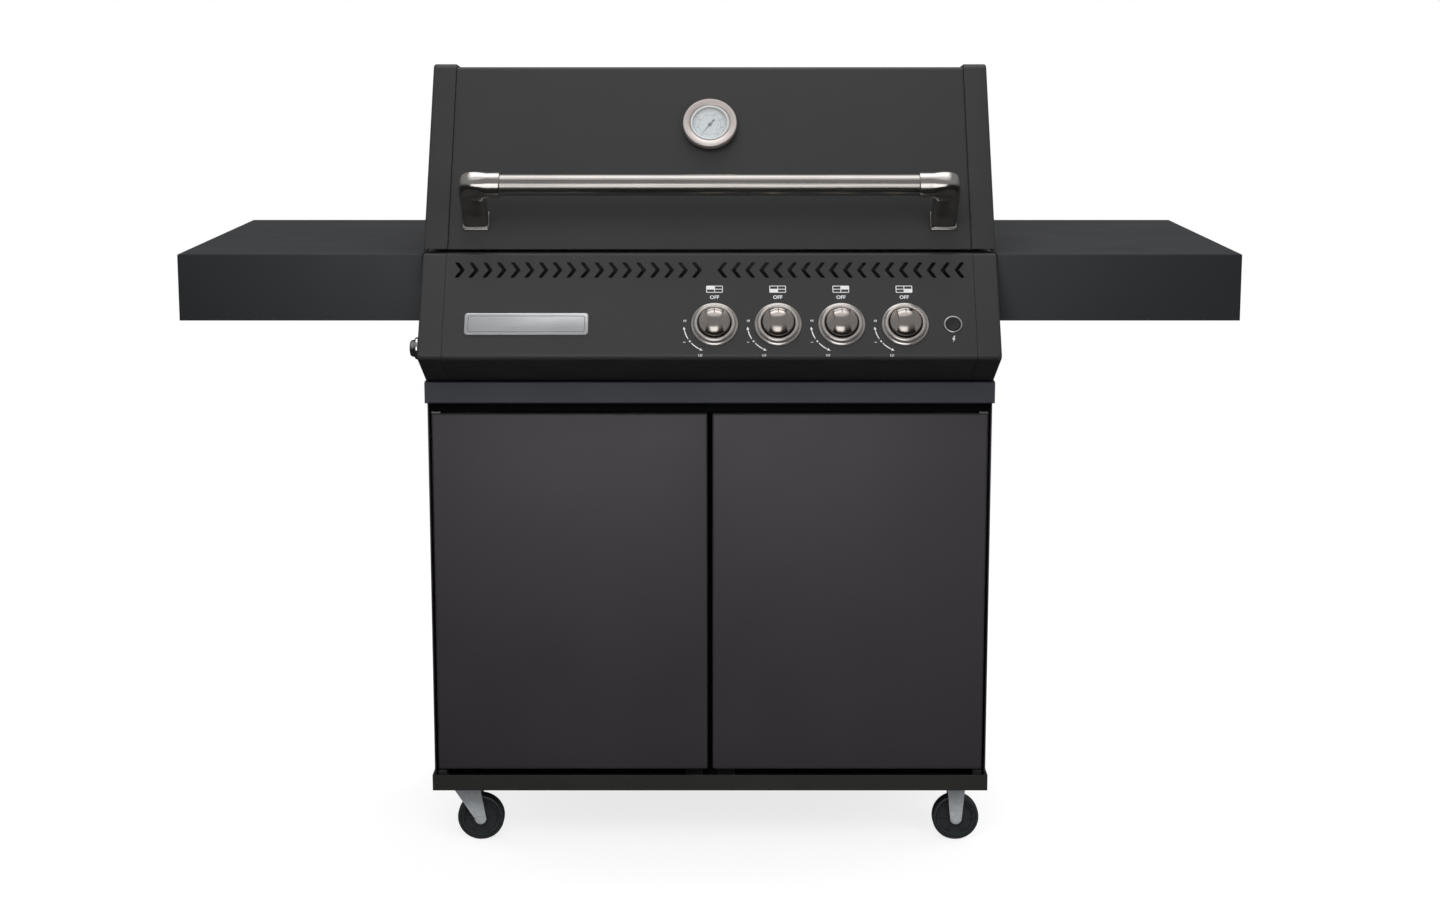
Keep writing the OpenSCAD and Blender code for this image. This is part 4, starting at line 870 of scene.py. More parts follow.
class BARBECUE_OT_stage(bpy.types.Operator):
    """Adds the camera, the pale floor, the lights and the background"""

    bl_idname = "barbecue.stage"
    bl_label = "Stage"
    bl_options = {"REGISTER", "UNDO"}

    # Name, place, aim, side in metres, power in watts and spread in degrees
    lamps = (
        ("key", (-0.5, -2.0, 2.0), (-0.05, -0.15, 0.95), 1.3, 5.6, 75),
        ("fill", (1.6, -2.5, 1.5), (0.25, -0.1, 0.7), 1.3, 5.2, 90),
        ("card", (-0.1, -2.4, 0.9), (0, 0, 0.8), 1.4, 11, 180),
        ("top", (0, 0.5, 3.2), (0, 0, 0.8), 2.0, 16, 180),
        ("back", (0.6, 3.0, 2.0), (0, 0, 0.6), 1.8, 22, 120),
        ("left", (-3.2, 0.9, 1.7), (0, 0, 0.6), 1.5, 9, 120),
        ("right", (3.2, 0.9, 1.7), (0, 0, 0.6), 1.5, 9, 120),
    )

    def execute(self, context):
        self.add_camera()
        self.add_floor()
        self.add_surround()
        self.add_lights()
        self.add_world()
        return {"FINISHED"}

    def add_camera(self):
        """Camera a little higher than the hood's top, pitched down."""
        lens = bpy.data.cameras.new("camera")
        lens.sensor_width = 36
        lens.lens = 56.95
        lens.shift_y = -0.05
        lens.clip_end = 60
        pitch = 90 - 9.21
        camera = bpy.data.objects.new("camera", lens)
        camera.location = (0.0137, -3.2201, 1.152)
        camera.rotation_euler = (math.radians(pitch), 0, 0)
        bpy.context.scene.collection.objects.link(camera)
        bpy.context.scene.camera = camera

    def add_floor(self):
        """Floor that looks nearly white in the picture and gives back little light to the object."""
        bm = bmesh.new()
        bmesh.ops.create_circle(bm, cap_ends=True, radius=6, segments=96)
        floor = from_bmesh("floor", bm)
        paint = Finish("floor_paint", (0.22, 0.22, 0.22), 0.95, Specular_IOR_Level=0.05)
        paint.tint(paint.noise(3, 2), (0.2, 0.2, 0.2), 0.5)
        bright = paint.node("ShaderNodeBsdfDiffuse", {"Color": (0.4, 0.4, 0.4, 1)})
        lit = paint.node("ShaderNodeAddShader")
        paint.link((bright.outputs[0], lit.inputs[0]), (paint.glow(0.78), lit.inputs[1]))
        path = paint.node("ShaderNodeLightPath").outputs
        seen = paint.arithmetic("MAXIMUM", path["Is Camera Ray"], path["Is Glossy Ray"])
        shown = paint.blend(seen, paint.shader.outputs[0], lit.outputs[0])
        # Fades out towards its edge
        fade = paint.remap(paint.length(paint.place()), 0, 1, 1.2, 2.6)
        paint.surface(paint.blend(fade, shown, paint.node("ShaderNodeBsdfTransparent").outputs[0]))
        floor.data.materials.append(paint.material)

    def add_surround(self):
        """Dim studio walls and floor that only reflections see; the white background shows above them."""
        bm = bmesh.new()
        add_lathe(bm, [(1, 3), (4600, 3), (4600, 1200), (4500, 2200), (4000, 3300), (3100, 4100),
                       (1900, 4600)])
        roof = [f for f in bm.faces if min(v.co.z for v in f.verts) > 4.5]
        bmesh.ops.delete(bm, geom=roof, context="FACES_ONLY")
        walls = from_bmesh("surround", bm)
        pale = Finish("surround_grey", (0, 0, 0), 1.0)
        height = pale.axes(pale.place())["Z"]
        lower = pale.remap(height, 0.02, 0.10, 0.2, 1.3)
        upper = pale.remap(height, 0.0, 0.22, 1.3, 3.4)
        pale.surface(pale.glow(pale.arithmetic("ADD", lower, upper)))
        walls.data.materials.append(pale.material)
        for kind in ("camera", "diffuse", "transmission", "volume_scatter", "shadow"):
            setattr(walls, f"visible_{kind}", False)

    def add_lights(self):
        """Square lamps; only the card and the top lamp show in reflections, and the card only there."""
        for name, place, aim, size, power, spread in self.lamps:
            light = bpy.data.lights.new(name, "AREA")
            light.shape = "SQUARE"
            light.size = size
            light.energy = power
            light.spread = math.radians(spread)
            lamp = bpy.data.objects.new(name, light)
            lamp.location = place
            lamp.rotation_euler = (Vector(aim) - Vector(place)).to_track_quat("-Z", "Y").to_euler()
            lamp.visible_camera = False
            lamp.visible_glossy = name in ("card", "top")
            lamp.visible_diffuse = name != "card"
            bpy.context.scene.collection.objects.link(lamp)

    def add_world(self):
        """White behind the object and in its reflections, dim where it lights the object."""
        world = bpy.data.worlds.new("studio")
        bpy.context.scene.world = world
        world.use_nodes = True
        world.node_tree.nodes.clear()
        sky = NodeBench(world.node_tree)
        white = sky.node("ShaderNodeBackground", {"Color": (1, 1, 1, 1), "Strength": 1.0})
        room = sky.node("ShaderNodeBackground", {"Color": (0.97, 0.98, 1.0, 1), "Strength": 0.32})
        path = sky.node("ShaderNodeLightPath").outputs
        seen = sky.arithmetic("MAXIMUM", path["Is Camera Ray"], path["Is Glossy Ray"])
        seen = sky.arithmetic("MAXIMUM", seen, path["Is Transmission Ray"])
        output = sky.node("ShaderNodeOutputWorld")
        sky.link((sky.blend(seen, room.outputs[0], white.outputs[0]), output.inputs["Surface"]))
        bpy.context.scene.view_settings.view_transform = "Standard"


class BARBECUE_OT_cad_finishes(bpy.types.Operator):
    """Gives the carried-over CAD nodes their finishes"""

    bl_idname = "barbecue.cad_finishes"
    bl_label = "Finishes of the inner pieces"
    bl_options = {"REGISTER", "UNDO"}

    coats = {
        "frame_paint": ["top_rails"],
        "cabinet_paint": ["cabinet_sides", "rear_panel"],
        "base_paint": ["base_pan"],
        "shelf_paint": ["shelf_undersides"],
        "zinc": ["caster_plates", "fixed_caster_forks", "left_front_fork", "left_rear_fork",
                 "hood_hinge_pins"],
        "screw": ["door_hinge_pins"],
        "black_plastic": ["door_catches", "igniter_module", "igniter_button"],
        "inside_paint": ["firebox_floor"],
        "enamel": ["firebox_ends", "firebox_sides"],
        "iron": ["cooking_grates", "hotplate"],
        "stainless": ["burner_housings", "mixer_tubes", "flame_guards"],
        "clay": ["burner_tiles", "electrodes"],
        "rack_chrome": ["warming_rack"],
        "sheet_steel": ["drip_tray", "tray_runners", "gas_manifold"],
        "brass": ["gas_valves", *(f"valve_stem_{k}" for k in KNOBS)],
        "copper": ["supply_tubes"],
        "tube_steel": ["handle_bar"],
    }

    def execute(self, context):
        for finish, nodes in self.coats.items():
            for name in nodes:
                for slot in frame["nodes"][name].material_slots:
                    slot.material = finish_named(finish)
        return {"FINISHED"}


class BARBECUE_OT_shelves(bpy.types.Operator):
    """Folds the two side shelves"""

    bl_idname = "barbecue.shelves"
    bl_label = "Side shelves"
    bl_options = {"REGISTER", "UNDO"}

    def execute(self, context):
        for node in ("left_shelf", "right_shelf"):
            shelf = pan(f"{node}_sheet", *corners(node), (2, -1), sizes().fold, sizes().sheet)
            finish_piece(shelf, "shelf_paint", TROLLEY, [node])
        return {"FINISHED"}


class BARBECUE_OT_doors(bpy.types.Operator):
    """Folds the two cabinet doors and adds their liners"""

    bl_idname = "barbecue.doors"
    bl_label = "Doors"
    bl_options = {"REGISTER", "UNDO"}

    def execute(self, context):
        for node in ("left_door", "right_door"):
            low, high = corners(node)
            rear = Vector((high.x, high.y - 0.0005, high.z))
            door = pan(f"{node}_sheet", low, rear, (1, 1), 0.0028, 0.0012)
            finish_piece(door, "cabinet_paint", node, [node])
            bm = bmesh.new()
            self.add_layer(bm, node, 0.0013, (0.003, 0.0015), 0.0004, 2)
            # Pressed stiffening field
            self.add_layer(bm, node, 0.05, (0.0024, 0), 0.0012, 3)
            liner = from_bmesh(f"{node}_liner", bm, weld=False)
            finish_piece(liner, "inside_paint", node)
        return {"FINISHED"}

    def add_layer(self, bm, node, inset, depths, edge, segments):
        """Flat board inset from the door's edges, between two depths in front of its rear."""
        low, high = corners(node)
        add_box(bm, (low.x + inset, high.y - depths[0], low.z + inset),
                (high.x - inset, high.y - depths[1], high.z - inset), edge, segments)


class BARBECUE_OT_panel(bpy.types.Operator):
    """Bends the control panel, cuts its vents and adds its end caps"""

    bl_idname = "barbecue.panel"
    bl_label = "Control panel"
    bl_options = {"REGISTER", "UNDO"}

    def execute(self, context):
        path, radii = panel_path()
        low, high = corners("control_panel")
        panel = sheet_along_x("control_panel_sheet", path, radii, low.x, high.x, sizes().sheet, 14)
        cut_away(panel, self.vents(1), self.vents(-1), self.holes())
        # The panel's paint is the hood's own paint, lightened as painted light
        finish_piece(panel, "panel_paint", TROLLEY, ["control_panel"])
        bm = bmesh.new()
        for side in (-1, 1):
            self.add_cap(bm, path, radii, side)
        caps = thicken(from_bmesh("panel_end_cap_shells", bm), sizes().sheet)
        finish_piece(caps, "panel_paint", TROLLEY, ["panel_end_caps"])
        return {"FINISHED"}

    def vents(self, side):
        """Cutters for one half's arrow-shaped slots."""
        run, width, half, corner = 0.0082, 0.0060, 0.0114, 0.0011
        gap_to_middle, row_height, depth = 0.010, 0.080, 0.004
        points = [(0, half), (width, half), (run + width, 0), (width, -half), (0, -half), (run, 0)]
        outline = []
        for i in range(len(points)):
            a, b, c = (Vector(points[k % len(points)]) for k in (i - 1, i, i + 1))
            outline += [tuple(p) for p in rounded([a, b, c], [0, corner, 0], 3)[1:-1]]
        start = -(gap_to_middle + run + width)
        first = panel_frame(0) @ Matrix.Translation((side * start, row_height, 0))
        bm = bmesh.new()
        add_prism(bm, [(side * x, y) for x, y in outline], -depth, depth, first)
        step = (-side * sizes().vent_pitch, 0, 0)
        return ROW.run(from_bmesh("vent_cutter", bm), "hood_paint", Count=sizes().vent_count, Step=step)

    def holes(self):
        """Cutters for the valve stems and the igniter."""
        bm = bmesh.new()
        for k in KNOBS:
            add_lathe(bm, [(7, -5), (7, 5)], knob_frame(k), 32)
        add_lathe(bm, [(10.5, -5), (10.5, 5)], panel_frame_at("igniter_ring"), 48)
        return from_bmesh("hole_cutter", bm)

    def add_cap(self, bm, path, radii, side):
        """Shell that starts just outside the panel and rounds over its outer edge."""
        gap, sunk = 0.0002, 0.0006
        inner = corners("control_panel")[1].x + gap
        outer = corners("panel_end_caps")[1].x
        edge = sizes().cap_edge
        stations = [(inner, sunk), (inner + sunk, 0)]
        stations += [(outer - edge + edge * sine, edge * rest) for sine, rest in quarter_turn(6)]
        add_bent_rows(bm, path, radii, side, stations, 12, cap_end=True)


class BARBECUE_OT_legends(bpy.types.Operator):
    """Prints the burner signs, the turning arcs and the spark sign on the panel"""

    bl_idname = "barbecue.legends"
    bl_label = "Printed signs"
    bl_options = {"REGISTER", "UNDO"}

    # Heights of the ink's underside and top over the paint, and the turning arcs' radius
    ink = (0.00004, 0.00012)
    arc_radius = 0.0400

    def execute(self, context):
        bm = bmesh.new()
        for k in KNOBS:
            matrix = knob_frame(k)
            self.zone_sign(bm, matrix, k)
            letters(bm, "OFF", 0.0070, matrix, (0, 0.0398), 0.00016)
            self.arc(bm, matrix, 211, 190)
            self.arc(bm, matrix, 221, 242)
            self.dot(bm, matrix, 216.5)
            letters(bm, "HI", 0.0040, matrix, (-0.0388, 0.0056), 0.0001)
            letters(bm, "LO", 0.0040, matrix, (-0.0184, -0.0438), 0.0001)
            add_prism(bm, rectangle(0.0030, 0.0008, 0.0003, 2, (-0.0392, -0.0252)), *self.ink, matrix)
        self.spark(bm, panel_frame_at("igniter_ring"))
        self.wrap(bm)
        finish_piece(from_bmesh("panel_signs", bm, weld=False), "ink", TROLLEY, smooth=0)
        return {"FINISHED"}

    def wrap(self, bm):
        """Lays what reaches past the flat face on to the panel's rounded nose."""
        matrix = panel_frame(0)
        path, radii = panel_path()
        radius, cuts, spacing = radii[2], 9, 0.0006
        half = (path[1] - path[2]).angle(path[3] - path[2]) / 2
        nose = matrix.inverted() @ Vector((0, *path[2]))
        flat_end = nose.y + radius / math.tan(half)
        for k in range(cuts):
            bmesh.ops.bisect_plane(
                bm, geom=bm.verts[:] + bm.edges[:] + bm.faces[:], dist=1e-7,
                plane_co=matrix @ Vector((0, flat_end - spacing * k, 0)), plane_no=matrix.col[1].to_3d())
        for vertex in bm.verts:
            x, y, z = matrix.inverted() @ vertex.co
            if y < flat_end:
                turn, reach = (flat_end - y) / radius, radius + z
                bent = Vector((x, flat_end - reach * math.sin(turn), reach * math.cos(turn) - radius))
                vertex.co = matrix @ bent

    def zone_sign(self, bm, matrix, k):
        """Two by two burner zones, with this knob's zone filled."""
        width, height, line, bottom = 0.0208, 0.0092, 0.0010, 0.0472
        left = -width / 2

        def bar(x0, y0, x1, y1, lift=0.0):
            outline = [(x0, y0), (x1, y0), (x1, y1), (x0, y1)]
            add_prism(bm, outline, self.ink[0] + lift, self.ink[1] + lift, matrix)

        for y in (bottom, bottom + height / 2, bottom + height):
            bar(left, y - line / 2, -left, y + line / 2)
        for x in (left, 0, -left):
            bar(x - line / 2, bottom, x + line / 2, bottom + height, 0.00002)
        x0 = left if k in (1, 2) else 0
        y0 = bottom + (height / 2 if k in (1, 3) else 0)
        bar(x0, y0, x0 + width / 2, y0 + height / 2, 0.00004)

    def arc(self, bm, matrix, start, end):
        """Tapered stroke round the knob, with an arrowhead at its end."""
        steps, thin, swell, head_length, head_half = 14, 0.0004, 0.0003, 0.0040, 0.0018
        low, high = sorted((start, end))
        outer, inner = [], []
        for i in range(steps + 1):
            share = i / steps
            way = direction(low + (high - low) * share)
            half = thin + swell * math.sin(math.pi * share)
            outer.append(tuple(way * (self.arc_radius + half)))
            inner.append(tuple(way * (self.arc_radius - half)))
        add_prism(bm, outer + inner[::-1], *self.ink, matrix)
        way = direction(end)
        along = Vector((way.y, -way.x)) * (1 if end < start else -1)
        base = way * self.arc_radius
        head = [base + along * head_length, base + way * head_half, base - way * head_half]
        add_prism(bm, [tuple(p) for p in head], 0.00005, 0.00013, matrix)

    def dot(self, bm, matrix, degrees):
        """Round mark between the two strokes."""
        centre = direction(degrees) * self.arc_radius
        add_prism(bm, rectangle(0.0024, 0.0024, 0.00119, 4, centre), *self.ink, matrix)

    def spark(self, bm, matrix):
        """Zigzag bolt under the igniter."""
        drop = 0.0205
        bolt = [(0.0012, 0.0048), (-0.0022, -0.0006), (-0.0002, -0.0006), (-0.0012, -0.0048),
                (0.0024, 0.0008), (0.0004, 0.0008), (0.0022, 0.0048)]
        add_prism(bm, [(x, y - drop) for x, y in bolt], *self.ink, matrix)


class BARBECUE_OT_badge(bpy.types.Operator):
    """Adds the blank brushed plate"""

    bl_idname = "barbecue.badge"
    bl_label = "Plate"
    bl_options = {"REGISTER", "UNDO"}

    def execute(self, context):
        low, high = corners("badge_plate")
        matrix = panel_frame_at("badge_plate")
        bm = bmesh.new()
        add_plate(bm, rectangle(high.x - low.x, 0.031, 0.004, 8), 0, 0.003, 0.0009, matrix, 4)
        plate = from_bmesh("blank_plate", bm)
        finish_piece(plate, "badge_steel", TROLLEY, ["badge_plate"], 40)
        # Raised bead just inside the plate's edge
        outer, inner = rectangle(0.153, 0.0235, 0.003, 6), rectangle(0.1512, 0.0217, 0.0024, 6)
        sunk, proud = 0.0029, 0.00325
        loops = [[matrix @ Vector((x, y, z)) for x, y in ring]
                 for ring, z in ((outer, sunk), (outer, proud), (inner, proud), (inner, sunk))]
        bm = bmesh.new()
        add_loops(bm, loops + [loops[0]])
        finish_piece(from_bmesh("plate_rim", bm), "bright_chrome", TROLLEY)
        return {"FINISHED"}


class BARBECUE_OT_knobs(bpy.types.Operator):
    """Builds the four knobs and their stepped bezels"""

    bl_idname = "barbecue.knobs"
    bl_label = "Knobs"
    bl_options = {"REGISTER", "UNDO"}

    # Height of the dome's rim and top over the panel, and the knob's radius, in millimetres
    rim, top, radius = 10.0, 20.0, 20.5

    def execute(self, context):
        for k in KNOBS:
            self.cap(knob_frame(k), f"knob_{k}")
            self.mark(knob_frame(k), f"knob_{k}")
            self.bezel(knob_frame(k), k)
        return {"FINISHED"}

    def cap(self, matrix, body):
        """Low dome whose sides are hollowed, so that a broad grip is left."""
        rim, top, radius = self.rim, self.top, self.radius
        profile = [(0, 5), (radius - 0.6, 5), (radius, 5.5), (radius, rim)]
        for i in range(1, 20):
            way = direction(90 * i / 20)
            profile.append((radius * way.x, rim + (top - rim) * way.y))
        knob = lathe_piece(f"{body}_cap", profile + [(0, top)], steps=128)
        for side in (-1, 1):
            beside = Matrix.Translation((side * 59.7 * MM, 0, 0))
            cut_away(knob, lathe_piece("hollow_cutter", [(50, rim + 2.5), (50, 30)], beside, 256))
        soften = knob.modifiers.new("soften", "BEVEL")
        soften.width = 0.00035
        soften.segments = 3
        soften.limit_method = "ANGLE"
        soften.angle_limit = math.radians(32)
        settle(knob)
        knob.data.transform(matrix)
        finish_piece(knob, "chrome", body, [body], 38)

    def mark(self, matrix, body):
        """Pointer line, cut along the top of the grip."""
        start, length, steps, half, sunk, proud = 8.5, 8.0, 8, 0.5, 0.3, 0.06
        loops = []
        for i in range(steps + 1):
            y = start + length * i / steps
            dome = self.rim + (self.top - self.rim) * math.sqrt(1 - (y / self.radius) ** 2)
            section = ((-half, dome - sunk), (half, dome - sunk), (half, dome + proud), (-half, dome + proud))
            loops.append([matrix @ (Vector((x, y, z)) * MM) for x, z in section])
        bm = bmesh.new()
        add_solid(bm, loops)
        finish_piece(from_bmesh(f"{body}_mark", bm), "needle", body, smooth=0)

    def bezel(self, matrix, k):
        """Stepped collar that stays on the panel."""
        profile = [(22.3, 0), (30.2, 0), (30.7, 0.5), (30.7, 2.2), (30.1, 3.0), (28.4, 3.4), (27.9, 3.9),
                   (27.5, 5.6), (26.6, 7.0), (25.2, 7.8), (23.8, 8.0), (22.8, 7.7), (22.3, 7.0)]
        bezel = lathe_piece(f"bezel_{k}", profile, matrix, 96, add_ring)
        coat = turned(f"bezel_turned_{k}", srgb(226, 219, 214), matrix, 0.28, 0.86)
        finish_piece(bezel, coat, TROLLEY, ["knob_bezels"] if k == 1 else (), 40)


class BARBECUE_OT_igniter(bpy.types.Operator):
    """Builds the igniter's ring and button and the round cap on the panel's end"""

    bl_idname = "barbecue.igniter"
    bl_label = "Igniter and side cap"
    bl_options = {"REGISTER", "UNDO"}

    def execute(self, context):
        matrix = panel_frame_at("igniter_ring")
        collar = [(9.9, -16), (10.8, -16), (10.8, 0), (12.2, 0), (12.5, 0.4), (12.4, 1.3), (11.8, 2.1),
                  (11.0, 2.5), (10.3, 2.4), (9.9, 1.9)]
        ring = lathe_piece("igniter_collar", collar, matrix, 72, add_ring)
        finish_piece(ring, "igniter_steel", TROLLEY, ["igniter_ring"], 40)
        crown = [(0, -20), (9.6, -20), (9.8, -19.8), (9.8, 2.4), (9.6, 3.1), (9.0, 3.7), (8.2, 4.0),
                 (7.4, 3.8), (6.0, 3.55), (0, 3.45)]
        button = lathe_piece("igniter_cap", crown, matrix, 72)
        finish_piece(button, "black_plastic", "igniter_button", ["igniter_button"], 40)
        low, high = corners("side_cap")
        centre = (low + high) / 2
        left = Matrix.Translation((high.x, centre.y, centre.z)) @ Matrix.Rotation(-math.pi / 2, 4, "Y")
        stepped = [(0, -0.4), (14.0, -0.4), (14.5, 0.2), (14.5, 2.8), (14.1, 3.6), (13.2, 4.2), (12.4, 4.5),
                   (11.6, 4.9), (11.2, 6.5), (10.6, 8.6), (9.4, 10.1), (7.4, 10.8), (3.0, 11.0), (0, 11.0)]
        cap = lathe_piece("round_side_cap", stepped, left, 72)
        finish_piece(cap, "bright_chrome", TROLLEY, ["side_cap"], 40)
        return {"FINISHED"}


class BARBECUE_OT_hood(bpy.types.Operator):
    """Bends the hood's skin and adds its two end caps"""

    bl_idname = "barbecue.hood"
    bl_label = "Hood"
    bl_options = {"REGISTER", "UNDO"}

    def execute(self, context):
        path, radii = hood_path()
        low, high = corners("lid_skin")
        lip_depth, lip_bend = 0.016, 0.002
        folded = [path[0] + Vector((lip_depth, 0))] + path
        bends = [0, lip_bend] + radii[1:]
        skin = sheet_along_x("hood_skin", folded, bends, low.x, high.x, -sizes().sheet, 18)
        finish_piece(skin, "hood_paint", HOOD, ["lid_skin"])
        bm = bmesh.new()
        for side in (-1, 1):
            self.add_cap(bm, path, radii, side)
        caps = thicken(from_bmesh("hood_end_cap_shells", bm), sizes().sheet)
        finish_piece(caps, "cap_paint", HOOD, ["lid_end_caps"])
        return {"FINISHED"}

    def add_cap(self, bm, path, radii, side):
        """Shell that steps up from the skin, rounds over its outer edge and is closed by a flat end."""
        gap, small, rear_edge, toe_inset = 0.0002, 0.0016, 0.025, 0.0012
        inner = corners("lid_skin")[1].x + gap
        outer = corners("lid_end_caps")[1].x
        proud, edge = sizes().cap_proud, sizes().cap_edge
        rim = path[:-1] + [Vector((path[-1].x, hinge_height() + rear_edge))]
        stations = [(inner, 0.0)]
        stations += [(inner + small * rest, proud - small + small * sine) for sine, rest in quarter_turn(4)]
        stations += [(outer - edge + edge * sine, proud - edge * rest) for sine, rest in quarter_turn(6)]
        last = add_bent_rows(bm, rim, radii, side, stations, 18)[-1]
        heel = bm.verts.new((side * outer, last[-1].co.y, path[0].y))
        toe = bm.verts.new((side * outer, last[0].co.y + toe_inset, path[0].y))
        bm.faces.new(last + [heel, toe])


class BARBECUE_OT_handle(bpy.types.Operator):
    """Builds the polished handle brackets"""

    bl_idname = "barbecue.handle"
    bl_label = "Handle"
    bl_options = {"REGISTER", "UNDO"}

    # Radius of the socket round the tube, and the leg's half sizes along and across the tube
    socket, leg_half, leg_thick = 0.017, 0.017, 0.0115
    socket_length = 0.038
    # Radius of the elbow's inner bend, and the squareness of the elbow's outer bend and of the leg
    inner_bend, elbow_power, leg_power = 0.002, 4.6, 5.6
    # How far up the hood's face from its front edge the leg stands
    foot_height = 0.042

    def execute(self, context):
        low, high = corners("handle_bar")
        axis = Vector((0, (low.y + high.y) / 2, (low.z + high.z) / 2))
        face = hood_frame()
        up, front = up_the_face(face, corners("lid_skin")[0].z)
        foot = front + up * self.foot_height
        foot.x = 0
        inset = 0.001
        elbow_x = corners("handle_brackets")[1].x - inset - self.socket
        for side in (-1, 1):
            self.bracket(side, axis, elbow_x, foot, face.col[2].to_3d())
        return {"FINISHED"}

    def section(self, side, cross, centre, outward, half, width, power):
        """Ring between an ellipse (power 2) and a rectangle, on this side of the middle."""
        steps = 40
        ring = []
        for i in range(steps):
            way = direction(360 * i / steps)
            reach, span = (math.copysign(abs(part) ** (2 / power), part) for part in way)
            point = centre + outward * (half * reach) + cross * (width * span)
            ring.append(Vector((side * point.x, point.y, point.z)))
        return ring

    def bracket(self, side, axis, elbow_x, foot, out):
        """Socket along the tube, an elbow, a square leg down to the hood and its foot plate."""
        along = Vector((1, 0, 0))
        leg = (foot - axis).normalized()
        cross = along.cross(leg).normalized()
        socket, bend = self.socket, self.inner_bend
        rings = []

        def add(centre, outward, half, width, power):
            rings.append(self.section(side, cross, centre, outward, half, width, power))

        mouth = axis + along * (elbow_x - self.socket_length)
        for offset, radius in ((0, 0.0146), (0, 0.0160), (0.0006, 0.0167), (0.0016, socket), (0.016, socket)):
            add(mouth + along * offset, -leg, radius, radius, 2.0)
        pivot = axis + along * (elbow_x - socket - bend) + leg * (socket + bend)
        power, turn_steps = self.elbow_power, 14
        for k in range(turn_steps + 1):
            share = k / turn_steps
            turn = direction(90 * share)
            outer = (2 * socket + bend) / (abs(turn.x) ** power + abs(turn.y) ** power) ** (1 / power)
            way = along * turn.y - leg * turn.x
            width = socket + (self.leg_thick - socket) * share
            add(pivot + way * ((outer + bend) / 2), way, (outer - bend) / 2, width,
                2.0 + (self.leg_power - 2.0) * share)
        leg_top = axis + along * elbow_x
        leg_length = (foot - axis).dot(out) / leg.dot(out)
        for distance in (0.030, 0.042, 0.056, leg_length):
            add(leg_top + leg * distance, along, self.leg_half, self.leg_thick, self.leg_power)
        # The last ring is cut to lie flat in the foot plate
        sunk = 0.003
        rings[-1] = [p - leg * (((p - foot).dot(out) - sunk) / leg.dot(out)) for p in rings[-1]]
        bm = bmesh.new()
        add_solid(bm, rings)
        plate = face_frame(out, Vector((side * elbow_x, foot.y, foot.z)))
        add_plate(bm, rectangle(0.036, 0.028, 0.003, 6), 0, 0.004, 0.0012, plate)
        add_plate(bm, rectangle(0.0352, 0.0262, 0.003, 6), 0.003, 0.0058, 0.001, plate)
        name, nodes = ("left", ["handle_brackets"]) if side < 0 else ("right", ())
        bracket = from_bmesh(f"{name}_handle_bracket", bm, weld=False)
        finish_piece(bracket, "handle_chrome", HOOD, nodes, 36)


